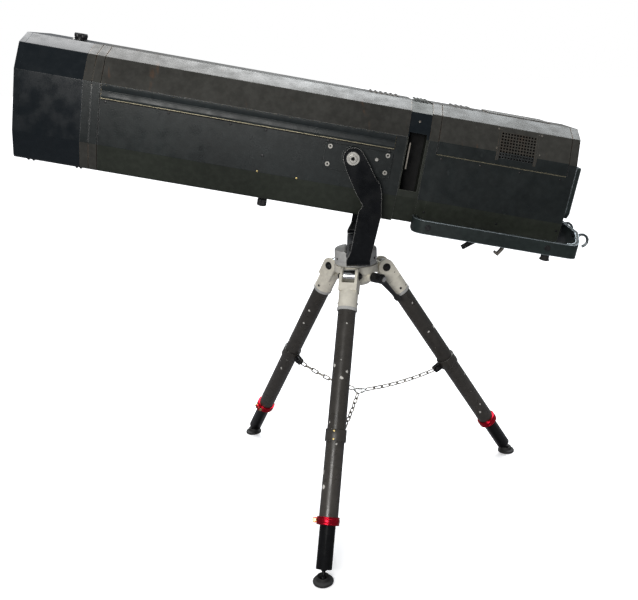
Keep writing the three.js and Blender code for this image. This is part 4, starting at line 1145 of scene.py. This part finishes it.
baffles = Shape(LANTERN)
skin_strip(baffles, (66, 87, 90, 158), -30, -28.8, 424, 562)
baffles.piece("vent_baffles", "lantern", "inside", "nose_black")
vent_frames = Shape(LANTERN)
for x0 in (430, 548):
    skin_strip(vent_frames, (66, 87.8, 156), 0, 1.2, x0, x0 + 8)
vent_frames.piece("vent_strips", "lantern", "shell", "shell_grey", chamfer=0.3)
vent_rivets = Shape(LANTERN)
side_screws(vent_rivets, [(428, 157), (563, 157), (428, 101), (563, 101)], radius=3.2, height=1.4)
vent_rivets.piece("vent_rivets", "lantern", "dull_steel", "bright_steel")

# %% [markdown]
# The chassis is everything of the lamp house that stays when the cover comes off: a band at each end, the
# tray and the wall with the hole for the beam. The cover's folded lip stands over the tray's edge as a
# ledge along each side.

# %% Lamp-house chassis
chassis = Shape(LANTERN)
chassis.sheet([HOUSE_FRONT + 0.3, HOUSE_BAND - SEAM_GAP], section(), SHEET, closed=True)
chassis.sheet([HOUSE_REAR_BAND + SEAM_GAP, HOUSE_REAR - 0.4], section(), SHEET, closed=True)
chassis.sheet([HOUSE_BAND - SEAM_GAP, HOUSE_REAR_BAND + SEAM_GAP], lower_run(HOUSE_SEAM), SHEET)
ported_plate(chassis, 224.1, 227.1, 72, 2.2)
# Painted shade by facet: olive on the lower flats, the darker side paint on the side flats, shell grey above.
house_chassis = chassis.piece("lamp_house_tray", "lantern", "olive", "shell_grey", ["lamp_house_chassis"])
other_look(house_chassis, "side", is_side)
other_look(house_chassis, "shell", lambda spot: spot.z > 88)

house_straps = Shape(LANTERN)
for x0, x1 in ((236, 262), (646, 668)):
    house_straps.sheet([x0, x1], section(2.2), 1, closed=True)
house_straps.piece("house_straps", "lantern", "inside", "nose_black")

# The house ledges carry a continuous light yellowish line along the edge: wear together with a painted
# highlight.
ledge = [(190.2, 49.6), (194.4, 50), (195, 51), (194.4, 52), (190.2, 53.4)]
ledges = Shape(LANTERN)
for sign in (-1, 1):
    ledges.prism(mirrored(ledge, sign), "x", HOUSE_BAND + 1, 656)
ledges.piece("house_ledges", "lantern", "ledge", "side_grey", chamfer=0.3)
house_screws = Shape(LANTERN)
side_screws(house_screws, [(x, 40) for x in (268, 390, 514, 642)], radius=4)
side_screws(house_screws, [(248, -132), (481, -130), (672, -120)], radius=4)
house_screws.piece("house_screws", "lantern", "blackened", "black_fitting")

# %% [markdown]
# Under the lamp house are the feet it stands on when it is off its yoke, the latch that holds the tray, its
# keeper and a few brackets. They are small, but they are what is seen below the house from in front.

# %% Feet, latch and brackets under the lamp house
FLOOR_PLATE = -177.5
LATCH_SPAN = (-161, -139)
feet = Shape(LANTERN)
profile = [(17, 0), (17, 10), (15, 12), (14, 44), (16.5, 47), (16.5, 50), (13, 52)]
for y in (-150, 150):
    feet.turn(profile, (668, y, -174), (668, y, -226), 32)
feet.piece("house_feet", "lantern", "rubber", "rubber")
brackets = Shape(LANTERN)
for y in (-150, 150):
    brackets.block(644, 690, y - 19, y + 19, FLOOR_PLATE, -174)
    screw_head(brackets, (650, y + 12, FLOOR_PLATE), (0, 0, -1), 3.4, 1.8)
latch_plate = [(430, -177), (532, -177), (532, -185), (505, -185), (498, -181), (430, -181)]
brackets.prism(latch_plate, "y", -164, -136)
keeper = [(500, -184), (532, -184), (529, -212), (514, -236), (501, -229), (503, -222), (512, -226),
          (523, -208), (525, -190), (500, -189)]
brackets.prism(keeper, "y", *LATCH_SPAN)
brackets.block(560, 616, -40, 40, -178, -174.5)
gland = [(14, 0), (14, 8), (12, 9), (12, 20), (10, 22.5), (6, 22.5), (6, 0), (14, 0)]
brackets.turn(gland, (600, 60, FLOOR_PLATE), (600, 60, -200), 6)
brackets.piece("house_brackets", "lantern", "dull_steel", "bright_steel", chamfer=0.5)
latch_screws = Shape(LANTERN)
for x in (438, 482):
    screw_head(latch_screws, (x, -164.2, -180), (0, -1, 0), 3.2, 1.6)
latch_screws.piece("latch_screws", "lantern", "zinc", "bright_steel")
latch = Shape(LANTERN)
lever = [*arc((440, -193), 7.5, -75, 115, 8), (392, -226), (399, -234)]
latch.prism(lever, "y", *LATCH_SPAN)
latch.rod(4, (440, -163.5, -193), (440, -136.5, -193), 20, 0.6)
latch.piece("tray_latch_lever", "latch", "fitting", "black_fitting", ["tray_latch"], chamfer=0.8)

# %% [markdown]
# The rear door is a plate hinged on its far edge, with a raised panel in its middle. Its pull is a bent
# strap. Screws stand round its rim and the hinge is made in three knuckles, since a plain plate would look
# unfinished from behind, where an operator stands.

# %% Rear door
door = Shape(LANTERN)
door_outline = [(-189, 84), (-189, -60), (-172, -78), (172, -78), (189, -60), (189, 84)]
panel_outline = [(-170, 66), (-170, -48), (-158, -60), (158, -60), (170, -48), (170, 66)]
door.prism(rounded(door_outline, 6), "x", 684.4, 699)
door.prism(rounded(panel_outline, 8), "x", 698.5, 701.5)
pull = [(698, 44), (720, 44), (722, 41), (722, -31), (720, -34), (698, -34), (698, -30), (716, -30),
        (718, -27), (718, 37), (716, 40), (698, 40)]
door.prism(pull, "y", -66, -54)
for y, z in ((-180, 76), (-180, -50), (0, 76), (0, -70), (110, 76), (-110, -70), (110, -70)):
    screw_head(door, (699, y, z), (1, 0, 0), 4, 2)
# The door's light bluish-grey edges are wear together with painted light from above.
door.piece("rear_door_plate", "door", "handle", "nose_black", ["rear_door"], chamfer=0.8)
hinge = Shape(LANTERN)
for z0, z1 in ((-56, -18), (-16, 40), (42, 80)):
    hinge.rod(5, (699.2, 189, z0), (699.2, 189, z1), 20, 0.5)
hinge.piece("rear_hinge_barrel", "door", "dull_steel", "nose_black")

# %% [markdown]
# The operator turns the lantern by the rail that wraps round its rear. The engineering model already has
# the bent bar, its straps and its hooks, so its solid is copied and only its edges are softened. Drawing
# the bends a second time would only give a chance to place them wrong.

# %% Handle rail, straps and hooks
HANDLE_Y = 250
rail_bar = Shape(LANTERN).copy_of("handle_rail")
# Its light bluish-grey edges and narrow top faces are wear together with painted light from above.
rail_bar.piece("handle_rail_bar", "lantern", "handle", "side_grey", ["handle_rail"], chamfer=1.2)
handle_screws = Shape(LANTERN)
for y in (-95, 95):
    for x in (650, 672):
        screw_head(handle_screws, (x, y, -183.5), (0, 0, -1), 4.4, 2.6)
for y in (-180, 0, 180):
    hex_bolt(handle_screws, (729.5, y, -124), (-1, 0, 0), 5.5, 4, 8)
for sign in (-1, 1):
    for x in (262, 640):
        hex_bolt(handle_screws, (x, sign * HANDLE_Y, -166), (0, sign, 0), 7, 4.4, 9.5)
handle_screws.piece("handle_screws", "lantern", "blackened", "black_fitting")

# %% [markdown]
# Inside the house are the condenser lens, a spun mirror, and the lamp in its holder. They are seen only
# through the slots and when the door is open, but they are made in full, because a part in a library is
# looked into.

# %% Condenser, reflector and lamp
domed_lens(246, 62, 12, 64).piece("condenser_glass", "lantern", "glass", "glass", ["condenser_lens"])
cell = Shape(LANTERN).turn(tube_profile(62.5, 74, -9, 9), (237, 0, 0), (238, 0, 0), 64)
screws_round(cell, 246, 68, (45, 135, 225, 315), 1, 3, 1.6)
cell.piece("condenser_cell", "lantern", "fitting", "black_fitting")

bowl = Shape(LANTERN)
curve = [math.radians(14 + 76 * i / 14) for i in range(15)]
inner = [(118 * math.sin(a), 120 * math.cos(a)) for a in curve]
outer = [(121 * math.sin(a), 123 * math.cos(a)) for a in reversed(curve)]
bowl.turn([*inner, (126, 0), (126, 3), *outer, inner[0]], (430, 0, 0), (431, 0, 0), 72)
bowl.piece("reflector_bowl", "lantern", "mirror", "mirror", ["reflector"])
lamp = Shape(LANTERN)
bulb = [(4, 0), (6, 3), (7, 12), (9, 22), (15, 36), (16, 48), (14, 62), (9, 74), (7, 88), (7, 124)]
lamp.turn(bulb, (442, 0, 0), (443, 0, 0), 32)
lamp.piece("lamp_envelope", "lantern", "quartz", "glass", ["lamp"])
holder = Shape(LANTERN)
cup = [(12, 0), (24, 1), (24, 6), (21, 7), (21, 13), (24, 14), (24, 19), (21, 20), (21, 26), (24, 27),
       (24, 36), (20, 38)]
holder.turn(cup, (566, 0, 0), (567, 0, 0), 40)
holder.block(578, 598, -14, 14, -160, -12)
holder.prism([(560, -174.5), (616, -174.5), (616, -162), (600, -160), (576, -160), (560, -162)], "y", -40, 40)
for x in (566, 610):
    for y in (-32, 32):
        screw_head(holder, (x, y, -162), (0, 0, 1), 4, 2)
holder.piece("lamp_holder_cup", "lantern", "dull_steel", "bright_steel", ["lamp_holder"], chamfer=0.6)

# %% [markdown]
# The lantern hangs in the yoke on two pivots. Each is a plate screwed to the side, with a boss, and outside
# the arm a washer and a socket screw. The plate's screws are bright, and their turned faces catch the light
# as small rings.

# %% Tilt pivots
ARM_OUTSIDE = 228
PLATE_FACE = SIDE_FACE + 6
PIVOT_PLATE = [(-90, -46), (120, -46), (120, 33), (-90, 33)]
PIVOT_SCREWS = [(-74, 22), (-75, -32), (104, 23), (104, -30)]
for side_name, sign in (("near", -1), ("far", 1)):
    pivot = Shape(LANTERN)
    pivot.prism(rounded(PIVOT_PLATE, 5), "y", sign * SIDE_FACE, sign * PLATE_FACE)
    pivot.turn([(34, 5.5), (34, 8), (32, 10), (32, 21.2)], (0, sign * SIDE_FACE, 0), (0, sign * 250, 0), 56)
    pivot.rod(8, (0, sign * 205, 0), (0, sign * 229, 0))
    # The plate takes the darker side paint, as painted shade.
    pivot.piece("pivot_plate_" + side_name, "lantern", "side", "side_grey", ["trunnion_" + side_name], 0.8)
    end = Shape(LANTERN)
    base = (0, sign * (ARM_OUTSIDE + 0.4), 0)
    out = (0, sign * 260, 0)
    end.turn([(20.5, 0), (20.5, 1.8), (19.5, 2.8), (12, 2.8), (12, 0)], base, out, 48)
    end.turn([(12.4, 2.6), (12.4, 7.4), (11.4, 8.4), (6.2, 8.4), (6.2, 3.4)], base, out, 40)
    # Black discs in the bottoms of the sockets are painted shade, the dark of the recesses.
    socket = Shape(LANTERN)
    socket.turn([(6.1, 3.2), (6.1, 3.6)], base, out, 6)
    for x, z in PIVOT_SCREWS:
        spot = (x, sign * PLATE_FACE, z)
        end.turn([(7.5, 0), (7.5, 1.2), (6.8, 1.8), (3.4, 1.8), (3.4, 0.6)], spot, (x, sign * 260, z), 24)
        socket.turn([(3.5, 0.2), (3.5, 0.8)], spot, (x, sign * 260, z), 6)
    end.turn([(6.5, 0), (6.5, 5), (5.4, 6)], (72, sign * PLATE_FACE, 6), (72, sign * 260, 6), 6)
    end.piece("pivot_screws_" + side_name, "lantern", "washer", "bright_steel")
    socket.piece("pivot_socket_shade_" + side_name, "lantern", "inside", "black_fitting")

# %% [markdown]
# The yoke is one flat bar bent twice and cranked, and its solid is copied from the engineering model. Its
# long edges get a chamfer here, because gloss black paint is seen only by what its edges reflect, and those
# are the edges where the paint has worn through. The hub below is a turned drum with two cheeks that hold
# the bar between them.

# %% Yoke and pan hub
yoke = Shape(STAND).copy_of("yoke_frame")
yoke.piece("yoke_bar", "yoke", "yoke", "yoke_black", ["yoke_frame"], chamfer=1.6, chamfer_over=50)
yoke_screws = Shape(STAND)
for y in (-34, 0, 34):
    for x in (-14, 30):
        hex_bolt(yoke_screws, (x, y, 905), (0, 0, 1), 6.5, 4.5, 9)
for y in (-94.92, -85.68):
    screw_head(yoke_screws, (-30.2, y, 897), (-1, 0, 0), 4.2, 2)
yoke_screws.piece("yoke_bolts", "yoke", "blackened", "black_fitting")

HUB_RADIUS, HEAD_TOP = 73, 850
hub = Shape(STAND)
drum = [(20, 0.5), (HUB_RADIUS - 3, 0.5), (HUB_RADIUS, 3), (HUB_RADIUS, 14), (HUB_RADIUS - 1.2, 15.2),
        (HUB_RADIUS - 1.2, 17.6), (HUB_RADIUS, 18.8), (HUB_RADIUS, 38.6)]
hub.turn(drum, (0, 0, HEAD_TOP), (0, 0, 900), 96)
lower_end = math.degrees(math.acos(46.4 / HUB_RADIUS))
upper_end = math.degrees(math.acos(-30.4 / HUB_RADIUS))
for cheek in (arc((0, 0), HUB_RADIUS, -lower_end, lower_end, 28),
              arc((0, 0), HUB_RADIUS, upper_end, 360 - upper_end, 32)):
    middle = sum(x for x, y in cheek) / len(cheek)
    rings = []
    for inset, z in ((0, 888.4), (0, 895), (1.2, 900), (4, 902.6), (6, 903)):
        rings.append([(middle + (x - middle) * (1 - inset / 22), y * (1 - inset / 60), z) for x, y in cheek])
    hub.skin(rings)
hub.rod(20, (0, 0, 800), (0, 0, 852), 48, 1)
hub.piece("pan_drum", "yoke", "hub", "pale_cast", ["pan_hub"])
hub_screws = Shape(STAND)
for x, y in arc((0, 0), HUB_RADIUS, -150, 150, 5):
    screw_head(hub_screws, (x, y, 874), (x, y, 0), 4, 1.6)
hub_screws.piece("hub_screws", "yoke", "blackened", "black_fitting")

# %% [markdown]
# The tripod head is a cream casting with three forked lugs. Its polished barrels turn between the legs'
# ears. A casting has soft edges everywhere, so the copied solid gets a generous chamfer. Below the head sit
# the sleeve of the pan bearing and the screw that locks it, with its tapered handle.

# %% Tripod head, bearing and clamp lever
head = Shape(STAND).copy_of("tripod_head")
head.piece("head_casting", "head", "cream", "cream_cast", ["tripod_head"], chamfer=2.2, chamfer_over=48)
HINGES = {side: STAND.inverted() @ Vector(joints["leg_fold_" + side]["pos_m"]) for side in SIDES}
barrels = Shape(STAND)
for side in SIDES:
    across = Vector(joints["leg_fold_" + side]["axis"]).normalized()
    sleeve = [(20.6, 0), (21.8, 0), (22.2, 0.6), (22.2, 39.4), (21.8, 40), (20.6, 40), (20.6, 0)]
    barrels.turn(sleeve, HINGES[side] - across * 20, HINGES[side] + across * 20, 56)
barrels.piece("hinge_barrels", "head", "polished", "bright_steel")
bearing = Shape(STAND).turn(tube_profile(20.3, 25.7, 0, 48), (0, 0, 800), (0, 0, 850), 64)
bearing.piece("bearing_sleeve", "head", "dull_steel", "bright_steel", ["pan_bearing"], chamfer=0.4)

STUD_HEIGHT = 810
stud_way = Vector(joints["pan_lock"]["axis"]).normalized()
stud_across = Vector((0, 0, 1)).cross(stud_way)


def at_stud(radius, across=0.0, down=0.0):
    return stud_way * radius + stud_across * across + Vector((0, 0, STUD_HEIGHT - down))


clamp = Shape(STAND)
clamp.turn([(12, 0), (17, 1), (17, 20), (15, 22), (15, 25), (17, 27), (17, 42), (12, 45), (7, 45)],
           at_stud(76), at_stud(130), 40)
stem = [(10, 8), (10.4, 22), (8.6, 60), (7.4, 104), (8, 112), (10.5, 118), (11.5, 125), (10.5, 132),
        (7, 135.5), (2, 136.5)]
clamp.turn(stem, at_stud(110), at_stud(110, 95, 95), 32)
clamp.piece("clamp_lever", "pan_lock", "plastic", "black_fitting", ["pan_lock_lever"])
stud = Shape(STAND)
stud.rod(7, at_stud(40), at_stud(124), 24, 1)
stud.turn([(9.5, 45), (9.5, 50), (8.6, 51)], at_stud(76), at_stud(130), 6)
stud.piece("clamp_stud", "pan_lock", "steel", "black_fitting")

# %% [markdown]
# Each part of a leg is made by a function and called three times, since the legs are alike but for the
# height of their collars and the side on which their clamp rings open. Each leg's place has X outwards, Y
# across and Z back up the leg, so a station down the leg is minus Z.

# %% One leg
TUBE_RADIUS, INNER_RADIUS = 30, 25
SOCKET_TOP, CASTING_END = 74, 121
RING_STATION, RING_HALF = 795, 12.5
TUBE_END = RING_STATION + RING_HALF - 2
INNER_TOP, INNER_END = 560, 938
LUG_REACH, SCREW_X = 64, -50
BALL_RADIUS = 9
COLLARS = {"front": 531, "right": 467, "left": 467}


def down(station, x=0, y=0):
    """A point of the leg's place, so many millimetres down the leg from its hinge."""
    return (x, y, -station)


def leg_casting(side):
    """The forked casting at the top of a leg, with its lip, hinge bolt and grub screws."""
    casting = Shape(LEGS[side]).copy_of("leg_casting_" + side)
    casting.piece("casting_" + side, "leg_" + side, "cream", "cream_cast", ["leg_casting_" + side], 1.8, 48)
    band = Shape(LEGS[side])
    band.turn([(33.2, 0), (34, 0.6), (34, 10), (33.2, 10.6), (30.6, 10.6), (30.6, 0), (33.2, 0)],
              down(CASTING_END - 10), down(CASTING_END + 20), 56)
    band.piece("casting_lip_" + side, "leg_" + side, "hub", "cream_cast")
    bolt = Shape(LEGS[side])
    for sign in (-1, 1):
        face = (0, sign * 31.3, 0)
        out = (0, sign * 60, 0)
        bolt.turn([(14, 0), (14, 1.6), (13.2, 2.2)], face, out, 32)
        bolt.turn([(11, 2), (11, 6.4), (9.6, 7.4)], face, out, 6)
        bolt.turn([(6, 7.2), (6, 9.4), (5.2, 10)], face, out, 20)
    bolt.rod(6, (0, -31, 0), (0, 31, 0), 24)
    bolt.piece("hinge_pin_" + side, "leg_" + side, "blackened", "bright_steel", ["hinge_bolt_" + side])
    grub = Shape(LEGS[side])
    for sign in (-1, 1):
        screw_head(grub, (0, sign * 33, -(SOCKET_TOP + 22)), (0, sign, 0), 4.4, 1.6)
    grub.piece("casting_screws_" + side, "leg_" + side, "blackened", "black_fitting")


def leg_tube(side, collar):
    """The outer tube, with the collar that carries the chain's lug."""
    tube = Shape(LEGS[side])
    wall = tube_profile(TUBE_RADIUS - 3, TUBE_RADIUS, 0.4, TUBE_END - SOCKET_TOP)
    tube.turn(wall, down(SOCKET_TOP), down(TUBE_END), 64)
    tube.piece("tube_" + side, "leg_" + side, "leg", "leg_grey", ["leg_tube_" + side], chamfer=0.4)
    sleeve = Shape(LEGS[side])
    profile = [(30.4, 0), (33.2, 0), (34.2, 1), (34.2, 37), (33.2, 38), (30.4, 38), (30.4, 0)]
    sleeve.turn(profile, down(collar - 19), down(collar + 30), 56)
    sleeve.piece("collar_" + side, "leg_" + side, "leg", "leg_grey", chamfer=0.7)
    lug = Shape(LEGS[side])
    z = -collar
    cheek = rounded([(-31, z - 14), (-31, z + 14), (-LUG_REACH, z + 12), (-LUG_REACH, z - 12)], 6)
    for y in (-7.6, 3.6):
        lug.prism(cheek, "y", y, y + 4)
    lug.block(-38, -30, -7.6, 7.6, z - 13, z + 13)
    for station in (collar - 19.6, collar + 18.8):
        lug.turn(tube_profile(30.3, 34.6, 0, 0.8), down(station), down(station + 10), 56)
    lug.piece("chain_lug_" + side, "leg_" + side, "fitting", "leg_grey", chamfer=0.3)
    for station in (collar - 13, collar + 13):
        screws = Shape(LEGS[side])
        screw_head(screws, (34, 0, -station), (1, 0, 0), 3.6, 1.4)
        screws.piece("collar_screw_%s_%d" % (side, station), "leg_" + side, "zinc", "bright_steel")


def wing_screw(side, collar):
    """The screw with two wings that holds the chain in its lug."""
    screw = Shape(LEGS[side])
    axis_end = (SCREW_X, 40, -collar)
    screw.rod(4, down(collar, SCREW_X, -17), down(collar, SCREW_X, 14), 20, 0.6)
    screw.turn([(8, 0), (8, 5), (7, 5.8)], down(collar, SCREW_X, -8.3), down(collar, SCREW_X, -40), 6)
    screw.turn([(9, 0), (9, 1), (7.4, 1.6), (7, 5), (6, 8.8)], down(collar, SCREW_X, 8.2), axis_end, 28)
    wing = [(0, -3.5), (5, -3), (11, 2), (13.6, 6), (13, 8.4), (11, 8.6), (5, 4.4), (0, 3.6)]
    for sign in (-1, 1):
        outline = [(SCREW_X + sign * x, -collar + z) for x, z in rounded(wing, 2)]
        screw.prism(outline, "y", 10.6, 15)
    screw.piece("wing_nut_" + side, "wing_" + side, "blackened", "black_fitting", ["wing_screw_" + side], 0.6)


def clamp_ring(side):
    """The red ring that clamps the sliding tube, with its two ears and cross bolt."""
    way = -1 if side == "front" else 1
    ring = Shape(LEGS[side])
    outer = TUBE_RADIUS + 6
    bore = TUBE_RADIUS + 0.4
    top = 2 * RING_HALF
    profile = [(bore, 0), (outer - 1.4, 0), (outer, 1.4), (outer, 3), (outer - 1.2, 4), (outer - 1.2, 6),
               (outer, 7), (outer, top - 8), (outer - 1, top - 7), (outer - 1, top - 5.4),
               (outer, top - 4.4), (outer, top - 1.4), (outer - 1.4, top), (26, top), (26, top - 2.4),
               (bore, top - 2.4), (bore, 0)]
    ring.turn(profile, down(RING_STATION - RING_HALF), down(RING_STATION + 40), 80)
    z = -RING_STATION
    ear = rounded([(TUBE_RADIUS + 4, z - 8), (TUBE_RADIUS + 4, z + 8), (47, z + 8), (47, z - 8)], 3)
    for x0 in (-10, 2):
        ring.prism(mirrored(ear, way), "x", x0, x0 + 8)
    ring.piece("ring_" + side, "leg_" + side, "red", "red_ring", ["clamp_ring_" + side], chamfer=0.5)
    bolt = Shape(LEGS[side])
    start, end = down(RING_STATION, -17, way * 40), down(RING_STATION, 17, way * 40)
    bolt.turn([(5.4, 0), (6.6, 1), (6.6, 6.4), (4, 6.4), (4, 28), (6.8, 28)], start, end, 24)
    bolt.turn([(7, 27.6), (7, 33.4), (6, 34)], start, end, 6)
    bolt.piece("ring_bolt_" + side, "leg_" + side, "zinc", "bright_steel")


def inner_tube(side):
    """The sliding tube, with its plug, a neck and the ball that sits in the foot."""
    tube = Shape(LEGS[side])
    bore = INNER_RADIUS - 3
    end = INNER_END - INNER_TOP
    profile = [(bore, 30), (bore, 0), (INNER_RADIUS, 0), (INNER_RADIUS, end), (24.4, end + 1), (12, end + 2),
               (8, end + 5), (5.5, end + 7), (5, end + 24), (0, end + 26)]
    tube.turn(profile, down(INNER_TOP), down(INNER_END), 56)
    ball_station = -(LEGS[side].inverted() @ Vector(joints["foot_swivel_" + side]["pos_m"])).z
    tube.turn(arc((0, 0), BALL_RADIUS, -78, 78, 10), down(ball_station), down(ball_station + 10), 32)
    tube.piece("sliding_tube_" + side, "inner_" + side, "inner", "black_tube", ["leg_inner_" + side])


def foot_pad(side):
    """The rubber foot, with two ribs round it and a cup for the ball."""
    pad = Shape(FEET[side])
    profile = [(0, 0.4), (29, 0.4), (30, 0), (31.6, 1), (32, 2.4), (32, 6.4), (31, 8), (28, 9.4),
               (22.6, 11.6), (21, 14), (20.4, 20), (19.4, 21.6), (17.6, 21.6), (11.8, 17), (10.6, 13),
               (8.6, 8.2), (4, 5.6), (0, 5.2)]
    pad.turn(profile, (0, 0, 0), (0, 0, 10), 64)
    for height in (3, 5.2):
        pad.turn([(31.8, 0), (32.4, 0.5), (31.8, 1), (31.4, 0.5), (31.8, 0)], (0, 0, height), (0, 0, 20), 64)
    pad.piece("foot_" + side, "foot_" + side, "rubber", "rubber", ["foot_pad_" + side])


for side in SIDES:
    leg_casting(side)
    leg_tube(side, COLLARS[side])
    wing_screw(side, COLLARS[side])
    clamp_ring(side)
    inner_tube(side)
    foot_pad(side)

# %% [markdown]
# Short-link chain runs from a triangular link in the middle to each collar. Every link is a bent and welded
# wire, and each is turned a quarter from the last. The chain is made in the open pose only. A cloth or rope
# simulation would take minutes and would change nothing in the open pose.

# %% Spreader link and chains
LINK_HEIGHT, LINK_RADIUS = 367, 30
CHAIN_SAG = 10
WIRE, PITCH, LINK_HALF_WIDTH = 2.3, 31, 6.4


def leg_direction(side):
    """The way a leg points, seen from above."""
    outward = Vector(joints["leg_fold_" + side]["axis"]).cross((0, 0, 1))
    return Vector((outward.x, outward.y, 0)).normalized()


def chain_link(shape, middle, along, across):
    """One link with two round ends and two straight sides."""
    half = PITCH / 2 + WIRE - LINK_HALF_WIDTH
    points = []
    for sign in (1, -1):
        for k in range(7):
            a = math.radians(-90 + 30 * k) if sign > 0 else math.radians(90 + 30 * k)
            reach = sign * half + LINK_HALF_WIDTH * math.cos(a)
            points.append(middle + along * reach + across * (LINK_HALF_WIDTH * math.sin(a)))
    shape.wire_loop(points, WIRE, 8)


def spreader_chain(side):
    """A slightly sagging chain from the middle link to one leg's collar. Returns its number of links."""
    out = leg_direction(side)
    start = out * (LINK_RADIUS - 2) + Vector((0, 0, LINK_HEIGHT))
    end = STAND.inverted() @ (LEGS[side] @ Vector((-LUG_REACH + 5, 0, -COLLARS[side])))
    count = round((end - start).length / PITCH)
    path = []
    for i in range(count + 1):
        t = i / count
        point = start.lerp(end, t)
        point.z -= CHAIN_SAG * 4 * t * (1 - t)
        path.append(point)
    chain = Shape(STAND)
    cross = Vector((0, 0, 1)).cross(out)
    for i, (a, b) in enumerate(zip(path, path[1:])):
        along = (b - a).normalized()
        other = along.cross(cross).normalized()
        tilt = 0.35 if i % 2 else -0.3
        across = (cross if i % 2 else other) * math.cos(tilt) + (other if i % 2 else cross) * math.sin(tilt)
        chain_link(chain, (a + b) / 2, along, across.normalized())
    made = chain.piece("chain_links_" + side, None, "dull_steel", "bright_steel", ["chain_" + side])
    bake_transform(made)
    return count


counts = [spreader_chain(side) for side in SIDES]
link = Shape(STAND)
corners = [leg_direction(side) * LINK_RADIUS for side in SIDES]
path = rounded([(p.x, p.y) for p in corners], 9, 5)
link.wire_loop([(x, y, LINK_HEIGHT) for x, y in path], 3.4, 10)
middle = (corners[0] + corners[1]) / 2 + Vector((0, 0, LINK_HEIGHT))
along = (corners[1] - corners[0]).normalized()
link.turn([(5, 0), (6.2, 0.8), (6.2, 15), (5, 16)], middle - along * 8, middle + along * 20, 6)
link.piece("quick_link", "head", "steel", "bright_steel", ["spreader_link"])
print("chain links", counts)
